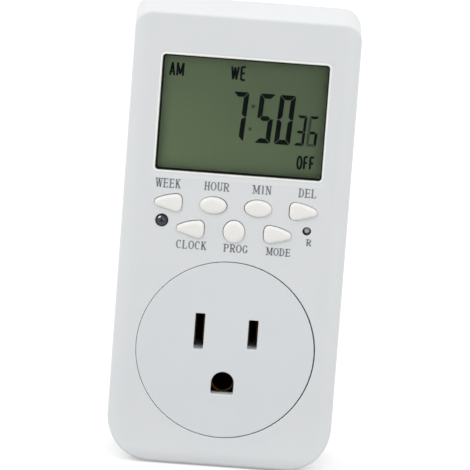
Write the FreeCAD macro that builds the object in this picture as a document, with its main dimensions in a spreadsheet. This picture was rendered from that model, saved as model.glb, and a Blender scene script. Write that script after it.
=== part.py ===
import FreeCAD
import Part
import Sketcher
import math
import os
import re

# A plug-in timer: a flat white case with a display and keys above a pass-through socket.
# X runs right seen from the front, Z up, and the plug points along +Y into the wall.
# Y is 0 on the rear face that meets the wall. Z is 0 on the line through the two flat blades.

doc = FreeCAD.newDocument("plug_in_timer")
sheet = doc.addObject("Spreadsheet::Sheet", "Sizes")

SIZES = {
    # case
    "case_width": 54.1,
    "case_top": 75.7,
    "case_bottom": 32.65,
    "case_depth": 34.0,
    "rear_depth": 6.0,
    "wall": 2.0,
    "face_wall": 2.2,
    "floor_wall": 2.0,
    "corner_top": 4.6,
    "corner_bottom": 11.3,
    "draft": 0.75,
    "crown_radius": 7.7,
    "side_crown": 4.6,
    "bottom_crown": 4.0,
    "front_round": 0.6,
    "rear_round": 3.0,
    "lip_height": 2.0,
    "lip_wall": 1.2,
    "fit_gap": 0.1,
    # case screws
    "case_screw_side_top": 5.85,
    "case_screw_side_low": 8.45,
    "case_screw_up": 8.85,
    "case_boss_radius": 2.7,
    "case_screw_radius": 1.45,
    "case_screw_length": 12.0,
    "case_head_radius": 2.5,
    "case_head_height": 2.1,
    "case_head_depth": 3.0,
    # socket
    "slot_pitch": 12.7,
    "ground_drop": 11.9,
    "disc_side": 6.0,
    "disc_drop": 4.1,
    "disc_gap": 0.15,
    "disc_flange": 1.2,
    "disc_flange_reach": 1.3,
    "slot_width": 2.3,
    "neutral_slot": 8.6,
    "line_slot": 7.0,
    "ground_slot_width": 5.4,
    "ground_slot_top": 2.55,
    "ground_slot_bottom": 2.7,
    # plug
    "blade_thickness": 1.52,
    "line_blade_width": 6.35,
    "neutral_blade_width": 7.9,
    "blade_length": 17.0,
    "blade_hole_radius": 1.6,
    "blade_hole_place": 11.9,
    "blade_tip": 1.2,
    "pin_radius": 2.4,
    "pin_length": 21.4,
    "blade_shoulder": 1.3,
    "shoulder_height": 3.0,
    "line_blade_depth": 9.0,
    "neutral_blade_depth": 12.0,
    "pin_root_radius": 2.9,
    "pin_collar_radius": 3.8,
    "pin_collar_height": 1.5,
    "pin_shank_radius": 1.5,
    # contacts
    "leaf": 0.7,
    "leaf_gap": 0.05,
    "line_leaf_width": 6.0,
    "neutral_leaf_width": 7.4,
    "contact_start": 0.3,
    "contact_depth": 13.5,
    "strap": 0.8,
    "strap_width": 6.0,
    "strap_reach": 3.5,
    "strap_pad": 4.0,
    "load_pad": 3.2,
    "load_gap": 0.6,
    "load_width": 3.4,
    "barrel_gap": 0.06,
    "barrel_wall": 0.55,
    "barrel_slit": 1.2,
    "barrel_length": 13.0,
    "ground_plate": 7.0,
    "ground_plate_depth": 8.0,
    "rivet_radius": 1.1,
    "rivet_head": 1.8,
    "rivet_head_height": 0.7,
    # contact carrier
    "carrier_top": 8.0,
    "carrier_bottom": 19.0,
    "carrier_depth": 16.2,
    "carrier_gap": 0.3,
    "ear_edge": 5.05,
    "ear_radius": 3.0,
    "ear_thick": 2.5,
    "ear_boss": 3.6,
    "ear_boss_radius": 2.3,
    "ear_screw_radius": 1.0,
    "ear_screw_length": 7.0,
    "ear_head_radius": 1.9,
    "ear_head_height": 1.5,
    "press_post_radius": 1.8,
    "press_post_side": 3.5,
    "press_post_edge": 2.5,
    # display
    "window_side": 7.35,
    "window_top": 10.3,
    "window_key_gap": 5.45,
    "window_corner": 0.8,
    "window_bevel": 0.45,
    "lens_sink": 0.2,
    "lens_flange": 1.0,
    "lens_flange_thick": 0.8,
    "glass_side_lap": 0.3,
    "glass_end_lap": 0.4,
    "glass_thick": 2.2,
    "glass_gap": 0.1,
    "holder_wall": 1.1,
    "holder_ledge": 1.8,
    "zebra_gap": 0.2,
    "zebra_thick": 1.8,
    # control board
    "board_gap": 6.4,
    "control_thick": 1.2,
    "control_side_gap": 1.45,
    "control_low_edge": 4.95,
    "holder_boss_gap": 0.3,
    "holder_screw_gap": 0.25,
    "shoulder_gap": 0.5,
    "tab_gap": 1.5,
    "tab_edge": 2.6,
    "tab_screw_side": 4.0,
    "control_screw_side": 1.8,
    "control_screw_up": 2.9,
    "control_boss_radius": 2.15,
    "board_screw_radius": 0.9,
    "board_screw_length": 5.0,
    "board_head_radius": 1.7,
    "board_head_height": 1.2,
    "chip_side": 12.0,
    "chip_thick": 1.6,
    "chip_x": -4.0,
    "chip_drop": 0.7,
    "crystal_radius": 1.4,
    "crystal_length": 8.0,
    "crystal_x": 9.0,
    "crystal_rise": 0.3,
    # keys
    "key_disc_gap": 5.3,
    "key_row_gap": 1.5,
    "key_outer_side": 3.75,
    "key_inner_x": 5.25,
    "key_low_step": 5.65,
    "drop_length": 6.6,
    "drop_height": 4.4,
    "drop_tip": 0.9,
    "drop_corner": 1.3,
    "oval_length": 6.55,
    "oval_height": 4.2,
    "round_key": 5.3,
    "key_proud": 0.9,
    "key_round": 0.5,
    "key_gap": 0.15,
    "key_flange": 0.5,
    "key_flange_thick": 0.8,
    "key_rest_gap": 0.1,
    "key_travel": 0.8,
    "stem_radius": 1.5,
    "stem_gap": 0.05,
    "stem_entry": 0.6,
    "switch_side": 3.9,
    "switch_height": 3.5,
    "dome_gap": 0.05,
    "dome_rise": 0.15,
    "dome_radius": 1.35,
    "dome_top_radius": 0.9,
    "reset_radius": 0.95,
    "reset_hole_gap": 0.07,
    "reset_sink": 0.5,
    "reset_flange": 0.6,
    "pilot_side": 2.55,
    "pilot_rise": 1.45,
    "led_radius": 1.48,
    "led_gap": 0.05,
    "led_proud": 0.6,
    "led_length": 4.8,
    "led_flange": 0.4,
    "led_flange_thick": 1.0,
    "led_lead_radius": 0.25,
    "led_lead_pitch": 1.6,
    # power board
    "power_gap": 4.0,
    "power_thick": 1.6,
    "power_side_gap": 1.25,
    "power_low_gap": 4.0,
    "power_screw_side": 2.5,
    "power_screw_end": 3.2,
    "power_post_radius": 2.2,
    "power_screw_length": 5.2,
    "dropper_x": -15.75,
    "dropper_z": 34.0,
    "dropper_width": 8.5,
    "dropper_length": 26.0,
    "dropper_height": 13.0,
    "smoother_x": -5.5,
    "smoother_z": 24.6,
    "smoother_radius": 4.0,
    "smoother_height": 11.5,
    "diode_x": -5.1,
    "diode_z": 34.5,
    "diode_pitch": 3.0,
    "diode_radius": 1.25,
    "diode_length": 5.0,
    "resistor_x": -6.0,
    "resistor_z": 44.4,
    "resistor_pitch": 3.6,
    "resistor_radius": 1.2,
    "resistor_length": 6.4,
    "lead_radius": 0.35,
    "lead_reach": 1.3,
    "varistor_x": 18.4,
    "varistor_z": 28.0,
    "varistor_radius": 5.0,
    "varistor_thick": 3.8,
    "varistor_lift": 1.0,
    "transistor_x": 18.4,
    "transistor_z": 40.0,
    "transistor_radius": 2.35,
    "transistor_height": 4.6,
    "transistor_lift": 2.5,
    "transistor_flat": 1.2,
    "transistor_pitch": 1.27,
    "battery_x": -9.0,
    "battery_z": 57.0,
    "battery_radius": 5.6,
    "battery_length": 16.2,
    "tab_thick": 0.3,
    "tab_width": 4.0,
    "header_x": 10.5,
    "header_rise": 5.8,
    "header_pitch": 2.54,
    "header_height": 2.5,
    "header_pin": 0.32,
    "header_stub": 0.8,
    # relay, standing on the power board with its coil along Z
    "relay_x": 7.9,
    "relay_z": 28.3,
    "relay_length": 18.6,
    "relay_wall": 0.6,
    "relay_base": 1.0,
    "coil_radius": 4.1,
    "bobbin_radius": 4.55,
    "bobbin_flange": 0.8,
    "bobbin_gap": 0.3,
    "bobbin_front_gap": 0.2,
    "bobbin_side_gap": 0.15,
    "yoke_gap": 0.5,
    "core_radius": 2.0,
    "yoke_thick": 1.1,
    "yoke_width": 8.6,
    "armature_gap": 0.4,
    "armature_thick": 1.0,
    "armature_width": 8.0,
    "armature_reach": 3.95,
    "armature_room": 1.1,
    "core_proud": 0.25,
    "spring_thick": 0.3,
    "spring_height": 4.8,
    "spring_inset": 1.1,
    "spring_edge": 0.05,
    "relay_contact_radius": 0.75,
    "relay_contact_rise": 1.95,
    "relay_contact_side": 1.05,
    "relay_contact_room": 0.55,
    "relay_contact_gap": 0.36,
    "relay_contact_height": 0.45,
    "post_width": 1.2,
}

for row, (word, value) in enumerate(SIZES.items(), start=1):
    sheet.set("A%d" % row, word)
    sheet.set("B%d" % row, str(value))
    sheet.setAlias("B%d" % row, word)
doc.recompute()

# Places that several pieces share, written with the sheet's words
FACE = "(-case_depth)"
FACE_IN = "(face_wall - case_depth)"
SPLIT = "(-rear_depth)"
FLOOR = "(-floor_wall)"
BOARD = "(face_wall - case_depth + board_gap)"
BOARD_REAR = "(face_wall - case_depth + board_gap + control_thick)"
POWER_REAR = "(-floor_wall - power_gap)"
POWER = "(-floor_wall - power_gap - power_thick)"
DISC_BACK = "(face_wall - case_depth + disc_flange)"
CARRIER_BACK = "(face_wall - case_depth + disc_flange + carrier_depth)"
LINE_X = "(slot_pitch / 2)"
NEUTRAL_X = "(-slot_pitch / 2)"
GROUND_Z = "(-ground_drop)"
DISC_RADIUS = "(case_width / 2 - disc_side)"
EAR_X = "(case_width / 2 - disc_side - ear_edge)"
CARRIER_HALF = "(%s - ear_radius)" % EAR_X
KEY_LOW = "(%s - disc_drop + key_disc_gap + drop_height / 2)" % DISC_RADIUS
KEY_TOP = "(%s + drop_height + key_row_gap)" % KEY_LOW
WINDOW_WIDTH = "(case_width - 2 * window_side)"
WINDOW_LOW = "(%s + drop_height / 2 + window_key_gap)" % KEY_TOP
WINDOW_HIGH = "(case_top - window_top)"
WINDOW_Z = "((%s + %s) / 2)" % (WINDOW_LOW, WINDOW_HIGH)
WINDOW_HEIGHT = "(%s - %s)" % (WINDOW_HIGH, WINDOW_LOW)
KEY_OUTER_X = "(%s / 2 - key_outer_side)" % WINDOW_WIDTH
KEY_LOW_X = "(%s - key_low_step)" % KEY_OUTER_X
PILOT_X = "(%s / 2 - pilot_side)" % WINDOW_WIDTH
PILOT_Z = "(%s + pilot_rise)" % KEY_LOW
GLASS_WIDTH = "(%s + 2 * glass_side_lap)" % WINDOW_WIDTH
GLASS_HEIGHT = "(%s + 2 * glass_end_lap)" % WINDOW_HEIGHT
HOLDER_TOP = "(%s + glass_end_lap + glass_gap + holder_wall)" % WINDOW_HIGH
CASE_SCREW_X = "(case_width / 2 - case_screw_side_top)"
CASE_SCREW_Z = "(%s + holder_boss_gap + case_boss_radius)" % HOLDER_TOP
SHOULDER = "(%s + holder_boss_gap - shoulder_gap)" % HOLDER_TOP
CONTROL_HALF = "(case_width / 2 - wall - control_side_gap)"
CONTROL_LOW = "(%s - control_low_edge)" % KEY_LOW
TAB_HALF = "(%s - case_boss_radius - tab_gap)" % CASE_SCREW_X
TAB_SCREW_Z = "(%s + holder_screw_gap + control_boss_radius)" % HOLDER_TOP
POWER_HALF = "(case_width / 2 - wall - fit_gap - lip_wall - power_side_gap)"
POWER_LOW = "(carrier_top + power_low_gap)"
POWER_SCREW_X = "(%s - power_screw_side)" % POWER_HALF

WORDS = re.compile(r"\b(%s)\b" % "|".join(sorted(SIZES, key=len, reverse=True)))


def formula(text):
    """Turn words of the sheet into references to its cells."""
    return WORDS.sub(r"Sizes.\1", str(text))


def value(text):
    """Present value of a formula, in millimetres."""
    return float(sheet.evalExpression(formula(text)))


def bind(item, prop, text):
    item.setExpression(prop, formula(text))


def place(item, x, y, z):
    for axis, text in zip("xyz", (x, y, z)):
        bind(item, "Placement.Base." + axis, text)


def box(name, x, y, z):
    """Box between the low and high formulas given for each axis."""
    item = doc.addObject("Part::Box", name)
    for prop, (low, high) in zip(("Length", "Width", "Height"), (x, y, z)):
        bind(item, prop, "(%s) - (%s)" % (high, low))
    place(item, x[0], y[0], z[0])
    return item


def around(centre, size):
    """Low and high formulas of a span centred on a place."""
    return ("(%s) - (%s) / 2" % (centre, size), "(%s) + (%s) / 2" % (centre, size))


TURNS = {
    "x": FreeCAD.Rotation(FreeCAD.Vector(0, 1, 0), 90),
    "y": FreeCAD.Rotation(FreeCAD.Vector(1, 0, 0), -90),
    "z": FreeCAD.Rotation(),
}


def rod(name, axis, start, end, centre, radius):
    """Cylinder along one axis; centre holds the other two places, in X, Y, Z order."""
    item = doc.addObject("Part::Cylinder", name)
    item.Placement = FreeCAD.Placement(FreeCAD.Vector(), TURNS[axis])
    bind(item, "Radius", radius)
    bind(item, "Height", "(%s) - (%s)" % (end, start))
    spot = list(centre)
    spot.insert("xyz".index(axis), start)
    place(item, *spot)
    return item


def fuse(name, *pieces):
    item = doc.addObject("Part::MultiFuse", name)
    item.Shapes = list(pieces)
    item.Refine = True
    return item


def cut(name, base, *tools):
    tool = tools[0]
    if len(tools) > 1:
        tool = doc.addObject("Part::MultiFuse", name + "_cutter")
        tool.Shapes = list(tools)
    item = doc.addObject("Part::Cut", name)
    item.Base = base
    item.Tool = tool
    item.Refine = True
    return item


def group(name, pieces):
    """Separate solids that share one node."""
    item = doc.addObject("Part::Compound", name)
    item.Links = list(pieces)
    return item


def rounded(name, base, radius, wanted):
    """Fillet on the edges of base that the test picks."""
    doc.recompute()
    item = doc.addObject("Part::Fillet", name)
    item.Base = base
    size = value(radius)
    edges = base.Shape.Edges
    item.Edges = [(k + 1, size, size) for k, edge in enumerate(edges) if wanted(edge, base.Shape)]
    return item


def is_sharp(edge, shape):
    """True where the two faces at an edge meet at more than 20 degrees."""
    faces = shape.ancestorsOfType(edge, Part.Face)
    if len(faces) != 2:
        return False
    point = edge.valueAt((edge.FirstParameter + edge.LastParameter) / 2)
    first, second = [face.normalAt(*face.Surface.parameter(point)) for face in faces]
    return math.degrees(first.getAngle(second)) > 20


def in_front_of(place_y):
    """Test for the sharp edges that lie wholly in front of a plane."""
    return lambda edge, shape: edge.BoundBox.YMax < value(place_y) and is_sharp(edge, shape)


def behind(place_y):
    """Test for the sharp edges that lie wholly behind a plane."""
    return lambda edge, shape: edge.BoundBox.YMin > value(place_y) and is_sharp(edge, shape)


def loop_round(sketch, circles):
    """Draw the closed outline that a belt makes round a ring of circles, with every size bound.

    Each circle is (across, up, radius) in formulas, listed anticlockwise.
    The belt leaves circle i towards the next one at the angle a - 90 deg + asin((r0 - r1) / d).
    """
    nums = [[value(text) for text in circle] for circle in circles]
    count = len(nums)
    leave = []
    for k, (x0, y0, r0) in enumerate(nums):
        x1, y1, r1 = nums[(k + 1) % count]
        away = math.hypot(x1 - x0, y1 - y0)
        leave.append(math.atan2(y1 - y0, x1 - x0) - math.pi / 2 + math.asin((r0 - r1) / away))
    up = FreeCAD.Vector(0, 0, 1)
    arcs, lines = [], []
    for k, (x, y, r) in enumerate(nums):
        first, last = leave[k - 1], leave[k]
        while last < first:
            last += 2 * math.pi
        circle = Part.Circle(FreeCAD.Vector(x, y, 0), up, r)
        arcs.append(sketch.addGeometry(Part.ArcOfCircle(circle, first, last), False))
    for k, (x0, y0, r0) in enumerate(nums):
        x1, y1, r1 = nums[(k + 1) % count]
        side = FreeCAD.Vector(math.cos(leave[k]), math.sin(leave[k]), 0)
        start = FreeCAD.Vector(x0, y0, 0) + side * r0
        end = FreeCAD.Vector(x1, y1, 0) + side * r1
        lines.append(sketch.addGeometry(Part.LineSegment(start, end), False))
    for k in range(count):
        after = arcs[(k + 1) % count]
        sketch.addConstraint(Sketcher.Constraint("Tangent", arcs[k], 2, lines[k], 1))
        sketch.addConstraint(Sketcher.Constraint("Tangent", lines[k], 2, after, 1))
    for k, (x, y, r) in enumerate(circles):
        for kind, text, now in (("DistanceX", x, nums[k][0]), ("DistanceY", y, nums[k][1])):
            rule = sketch.addConstraint(Sketcher.Constraint(kind, -1, 1, arcs[k], 3, now))
            bind(sketch, "Constraints[%d]" % rule, text)
        rule = sketch.addConstraint(Sketcher.Constraint("Radius", arcs[k], nums[k][2]))
        bind(sketch, "Constraints[%d]" % rule, r)


# Plane of a sketch, and the sign that turns its world place into an offset along its normal
PLANES = {"x": ("YZ_Plane", ""), "y": ("XZ_Plane", "-"), "z": ("XY_Plane", "")}


def slab(name, circles, start, end, axis="y", draft=None):
    """Padded body whose outline is a loop round circles, between two places on an axis."""
    body = doc.addObject("PartDesign::Body", name)
    sketch = body.newObject("Sketcher::SketchObject", name + "_outline")
    role, sign = PLANES[axis]
    plane = [feature for feature in body.Origin.OriginFeatures if feature.Role == role][0]
    sketch.AttachmentSupport = [(plane, "")]
    sketch.MapMode = "FlatFace"
    base = end if axis == "y" else start
    bind(sketch, "AttachmentOffset.Base.z", "%s(%s)" % (sign, base))
    loop_round(sketch, circles)
    pad = body.newObject("PartDesign::Pad", name + "_pad")
    pad.Profile = sketch
    bind(pad, "Length", "(%s) - (%s)" % (end, start))
    if draft:
        bind(pad, "TaperAngle", draft)
    sketch.Visibility = False
    return body


def rounded_box_loop(x, z, corner):
    """Circles of a rectangle with round corners, from its low and high formulas."""
    left, right = "(%s) + (%s)" % (x[0], corner), "(%s) - (%s)" % (x[1], corner)
    low, high = "(%s) + (%s)" % (z[0], corner), "(%s) - (%s)" % (z[1], corner)
    return [(left, low, corner), (right, low, corner), (right, high, corner), (left, high, corner)]


def case_loop(inset):
    """Circles of the case outline, moved inwards by a formula."""
    low_x = "(case_width / 2 - corner_bottom)"
    high_x = "(case_width / 2 - corner_top)"
    low_z = "(corner_bottom - case_bottom)"
    high_z = "(case_top - corner_top)"
    low = "corner_bottom - (%s)" % inset
    high = "corner_top - (%s)" % inset
    return [
        ("-" + low_x, low_z, low),
        (low_x, low_z, low),
        (high_x, high_z, high),
        ("-" + high_x, high_z, high),
    ]


def corners(x_top, z_top, x_low, z_low):
    """Four places, mirrored left and right."""
    return [("-(%s)" % x_top, z_top), (x_top, z_top), ("-(%s)" % x_low, z_low), (x_low, z_low)]


CASE_SCREWS = corners(
    CASE_SCREW_X, CASE_SCREW_Z, "case_width / 2 - case_screw_side_low", "case_screw_up - case_bottom"
)
BOARD_SCREWS = corners(
    TAB_HALF + " - tab_screw_side",
    TAB_SCREW_Z,
    CONTROL_HALF + " - control_screw_side",
    CONTROL_LOW + " + control_screw_up",
)
POWER_SCREWS = corners(
    POWER_SCREW_X, SHOULDER + " - power_screw_end", POWER_SCREW_X, POWER_LOW + " + power_screw_end"
)
EARS = [("-" + EAR_X, "-disc_drop"), (EAR_X, "-disc_drop")]


def posts(name, places, start, end, radius):
    return [
        rod("%s_%d" % (name, k), "y", start, end, spot, radius) for k, spot in enumerate(places)
    ]


def screws(name, places, seat, length, radius, head_radius, head_height):
    """Screws driven from behind: the head stands on the seat and the shank runs forwards."""
    made = []
    for k, spot in enumerate(places):
        shank = rod("%s_shank_%d" % (name, k), "y", "(%s) - (%s)" % (seat, length), seat, spot, radius)
        top = "(%s) + (%s)" % (seat, head_height)
        head = rod("%s_head_%d" % (name, k), "y", seat, top, spot, head_radius)
        made.append(fuse("%s_%d" % (name, k), shank, head))
    return group(name, made)


# Keys: name, outline, place across, place up
KEYS = [
    ("button_week", "left drop", "-" + KEY_OUTER_X, KEY_TOP),
    ("button_hour", "oval", "-key_inner_x", KEY_TOP),
    ("button_minute", "oval", "key_inner_x", KEY_TOP),
    ("button_delete", "right drop", KEY_OUTER_X, KEY_TOP),
    ("button_clock", "left drop", "-" + KEY_LOW_X, KEY_LOW),
    ("button_program", "round", "0", KEY_LOW),
    ("button_mode", "right drop", KEY_LOW_X, KEY_LOW),
    ("reset_plunger", "reset", PILOT_X, PILOT_Z),
]


def key_solid(name, kind, x, z, grow, start, end):
    """Prism of a key's outline, grown all round by a formula."""
    if kind == "oval":
        oval = doc.addObject("Part::Ellipse", name + "_oval")
        oval.Placement = FreeCAD.Placement(FreeCAD.Vector(), TURNS["y"])
        bind(oval, "MajorRadius", "oval_length / 2 + (%s)" % grow)
        bind(oval, "MinorRadius", "oval_height / 2 + (%s)" % grow)
        place(oval, x, start, z)
        solid = doc.addObject("Part::Extrusion", name)
        solid.Base = oval
        solid.DirMode = "Custom"
        solid.Dir = FreeCAD.Vector(0, 1, 0)
        solid.Solid = True
        bind(solid, "LengthFwd", "(%s) - (%s)" % (end, start))
        return solid
    if kind in ("round", "reset"):
        radius = "round_key / 2" if kind == "round" else "reset_radius"
        return rod(name, "y", start, end, (x, z), "%s + (%s)" % (radius, grow))
    side = "-" if kind == "left drop" else ""
    tip = ("(%s) + %s(drop_length / 2 - drop_tip)" % (x, side), z, "drop_tip + (%s)" % grow)
    back = "(%s) - %s(drop_length / 2 - drop_corner)" % (x, side)
    rise = "(drop_height / 2 - drop_corner)"
    low = (back, "(%s) - %s" % (z, rise), "drop_corner + (%s)" % grow)
    high = (back, "(%s) + %s" % (z, rise), "drop_corner + (%s)" % grow)
    circles = [tip, low, high] if side else [tip, high, low]
    return slab(name, circles, start, end)


def make_front_cover():
    """Front shell: drafted walls under a face that falls away at the sides and the bottom."""
    outline = slab("front_cover_outline", case_loop("0"), FACE, SPLIT, draft="-draft")
    reach = "(case_width / 2 - side_crown)"
    depth = "(crown_radius - case_depth)"
    far = "case_width"
    crown = [
        ("-" + reach, depth, "crown_radius"),
        (reach, depth, "crown_radius"),
        (far, "case_depth", "wall"),
        ("-" + far, "case_depth", "wall"),
    ]
    sides = slab("front_cover_side_crown", crown, "-2 * case_bottom", "2 * case_top", axis="z")
    crown = [
        (depth, "bottom_crown - case_bottom", "crown_radius"),
        ("case_depth", "-2 * case_bottom", "wall"),
        ("case_depth", "2 * case_top", "wall"),
        ("wall - case_depth", "2 * case_top", "wall"),
    ]
    bottom = slab("front_cover_bottom_crown", crown, "-case_width", "case_width", axis="x")
    outer = doc.addObject("Part::MultiCommon", "front_cover_outer")
    outer.Shapes = [outline, sides, bottom]
    outer = rounded("front_cover_rounded", outer, "front_round", in_front_of(BOARD))
    inside = slab("front_cover_inside", case_loop("wall"), FACE_IN, SPLIT, draft="-draft")
    shell = cut("front_cover_shell", outer, inside)
    root = FACE_IN + " - wall / 4"
    case_bosses = posts("case_boss", CASE_SCREWS, root, SPLIT, "case_boss_radius")
    board_bosses = posts("board_boss", BOARD_SCREWS, root, BOARD, "control_boss_radius")
    solid = fuse("front_cover_solid", shell, *case_bosses, *board_bosses)
    ahead, past = FACE + " - wall", FACE_IN + " + wall"
    outline = rounded_box_loop(around("0", WINDOW_WIDTH), (WINDOW_LOW, WINDOW_HIGH), "window_corner")
    opening = slab("window_opening", outline, ahead, past)
    bevel = slab(
        "window_bevel_cut", outline, FACE + " - window_bevel", FACE + " + window_bevel", draft="45"
    )
    disc = rod("disc_opening", "y", ahead, past, ("0", "-disc_drop"), DISC_RADIUS + " + disc_gap")
    led = rod("led_opening", "y", ahead, past, ("-" + PILOT_X, PILOT_Z), "led_radius + led_gap")
    holes = [opening, bevel, disc, led]
    for name, kind, x, z in KEYS:
        gap = "reset_hole_gap" if kind == "reset" else "key_gap"
        holes.append(key_solid(name + "_hole", kind, x, z, gap, ahead, past))
    tip = "-case_head_depth - case_screw_length"
    holes += posts("case_pilot", CASE_SCREWS, tip, SPLIT, "case_screw_radius")
    tip = BOARD_REAR + " - board_screw_length"
    holes += posts("board_pilot", BOARD_SCREWS, tip, BOARD, "board_screw_radius")
    return cut("front_cover", solid, *holes)


def make_rear_cover():
    """Rear tray with the wall face, blade slots, screw wells and posts."""
    outline = slab("rear_cover_outline", case_loop("0"), SPLIT, "0")
    outer = rounded("rear_cover_rounded", outline, "rear_round", behind(FLOOR + " / 2"))
    inside = slab("rear_cover_inside", case_loop("wall"), SPLIT, FLOOR)
    tray = cut("rear_cover_tray", outer, inside)
    lip_end = SPLIT + " - lip_height"
    lip_outer = slab("rear_lip_outer", case_loop("wall + fit_gap"), lip_end, SPLIT + " / 2")
    lip_inner = slab("rear_lip_inner", case_loop("wall + fit_gap + lip_wall"), lip_end, FLOOR)
    lip = cut("rear_lip", lip_outer, lip_inner)
    case_posts = posts("case_post", CASE_SCREWS, SPLIT, FLOOR + " / 2", "case_boss_radius")
    power_posts = posts("power_post", POWER_SCREWS, POWER_REAR, FLOOR + " / 2", "power_post_radius")
    side = "(%s - press_post_side)" % CARRIER_HALF
    low = "press_post_edge - carrier_bottom"
    press = [("-" + side, low), (side, low), ("0", "carrier_top - press_post_edge")]
    press_posts = posts("press_post", press, CARRIER_BACK, FLOOR + " / 2", "press_post_radius")
    room = posts("case_boss_room", CASE_SCREWS, lip_end, SPLIT, "case_boss_radius + fit_gap")
    trimmed = cut("rear_lip_trimmed", fuse("rear_tray_lip", tray, lip), *room)
    solid = fuse("rear_cover_solid", trimmed, *case_posts, *power_posts, *press_posts)
    through = (SPLIT + " * 2", "wall")
    slots = [
        box("line_exit", around(LINE_X, "blade_thickness + 2 * fit_gap"), (FLOOR, "wall"),
            around("0", "line_blade_width + 2 * fit_gap")),
        box("neutral_exit", around(NEUTRAL_X, "blade_thickness + 2 * fit_gap"), (FLOOR, "wall"),
            around("0", "neutral_blade_width + 2 * fit_gap")),
        rod("ground_exit", "y", FLOOR, "wall", ("0", GROUND_Z), "pin_root_radius + fit_gap"),
    ]
    wells = posts("case_well", CASE_SCREWS, "-case_head_depth", "wall", "case_head_radius + fit_gap")
    shanks = posts("case_shank_hole", CASE_SCREWS, *through, "case_screw_radius + fit_gap")
    tip = POWER + " + power_screw_length"
    pilots = posts("power_pilot", POWER_SCREWS, POWER_REAR + " - wall", tip, "board_screw_radius")
    return cut("rear_cover", solid, *slots, *wells, *shanks, *pilots)


def make_socket_face():
    """Flush disc with the three openings and a flange behind the case face."""
    spot = ("0", "-disc_drop")
    disc = rod("socket_disc", "y", FACE, DISC_BACK, spot, DISC_RADIUS)
    reach = DISC_RADIUS + " + disc_flange_reach"
    flange = rod("socket_flange", "y", FACE_IN, DISC_BACK, spot, reach)
    root, end = DISC_BACK + " - wall / 4", DISC_BACK + " + ear_boss"
    bosses = posts("socket_boss", EARS, root, end, "ear_boss_radius")
    span = (FACE + " - wall", DISC_BACK + " + wall")
    slots = [
        box("line_slot_cut", around(LINE_X, "slot_width"), span, around("0", "line_slot")),
        box("neutral_slot_cut", around(NEUTRAL_X, "slot_width"), span, around("0", "neutral_slot")),
    ]
    arch = GROUND_Z + " + ground_slot_top - ground_slot_width / 2"
    low = GROUND_Z + " - ground_slot_bottom"
    slots.append(rod("ground_slot_arch", "y", *span, ("0", arch), "ground_slot_width / 2"))
    slots.append(box("ground_slot_foot", around("0", "ground_slot_width"), span, (low, arch)))
    tip = DISC_BACK + " + ear_boss + ear_thick - ear_screw_length"
    pilots = posts("ear_pilot", EARS, tip, end + " + wall", "ear_screw_radius")
    return cut("socket_face", fuse("socket_solid", disc, flange, *bosses), *slots, *pilots)


BARREL_RADIUS = "(pin_radius + barrel_gap + barrel_wall)"
LEAF_X = "(blade_thickness / 2 + leaf_gap)"
CONTACT_START = "(%s + contact_start)" % DISC_BACK
CONTACT_END = "(%s + contact_start + contact_depth)" % DISC_BACK


def make_contact_carrier():
    """Insulating block behind the disc with a pocket for each contact and two screw ears."""
    block = box(
        "carrier_block",
        ("-" + CARRIER_HALF, CARRIER_HALF),
        (DISC_BACK, CARRIER_BACK),
        ("-carrier_bottom", "carrier_top"),
    )
    ear_start, ear_end = DISC_BACK + " + ear_boss", DISC_BACK + " + ear_boss + ear_thick"
    ear_rods = posts("carrier_ear", EARS, ear_start, ear_end, "ear_radius")
    bridge = box(
        "carrier_bridge", ("-" + EAR_X, EAR_X), (ear_start, ear_end), around("-disc_drop", "2 * ear_radius")
    )
    room = posts("ear_room", EARS, DISC_BACK, ear_start, "ear_boss_radius + fit_gap")
    pocket = "2 * (blade_thickness / 2 + leaf_gap + leaf + carrier_gap)"
    span = (DISC_BACK + " - wall", CARRIER_BACK + " + wall")
    tall = around("0", "neutral_leaf_width + 2 * carrier_gap")
    cuts = [
        box("line_pocket", around(LINE_X, pocket), span, around("0", "line_leaf_width + 2 * carrier_gap")),
        box("neutral_pocket", around(NEUTRAL_X, pocket), span, tall),
        rod("ground_pocket", "y", *span, ("0", GROUND_Z), BARREL_RADIUS + " + carrier_gap"),
        box(
            "ground_tail_pocket",
            around("0", "2 * pin_radius + 2 * carrier_gap"),
            span,
            ("%s - %s - leaf - carrier_gap" % (GROUND_Z, BARREL_RADIUS), GROUND_Z),
        ),
    ]
    holes = posts("ear_hole", EARS, DISC_BACK, ear_end + " + wall", "ear_screw_radius + fit_gap")
    return cut("contact_carrier", fuse("carrier_solid", block, *ear_rods, bridge), *cuts, *room, *holes)


def leaves(name, x, width):
    """Two leaves of a contact with the web that joins them at the back."""
    made = []
    for side, sign in (("left", "-"), ("right", "")):
        inner = "(%s) + %s%s" % (x, sign, LEAF_X)
        outer = "(%s) + %s(%s + leaf)" % (x, sign, LEAF_X)
        span = (outer, inner) if sign else (inner, outer)
        made.append(box("%s_%s_leaf" % (name, side), span, (CONTACT_START, CONTACT_END), around("0", width)))
    web = around(x, "2 * (%s + leaf)" % LEAF_X)
    made.append(box(name + "_web", web, (CONTACT_END, CONTACT_END + " + leaf"), around("0", width)))
    return made


NEUTRAL_RIVET = "(-floor_wall - power_gap - power_thick - rivet_head)"
BLADE_SIDE = "(slot_pitch / 2 + blade_thickness / 2)"
LOAD_PLATE = "(%s + fit_gap)" % CARRIER_BACK


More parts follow.
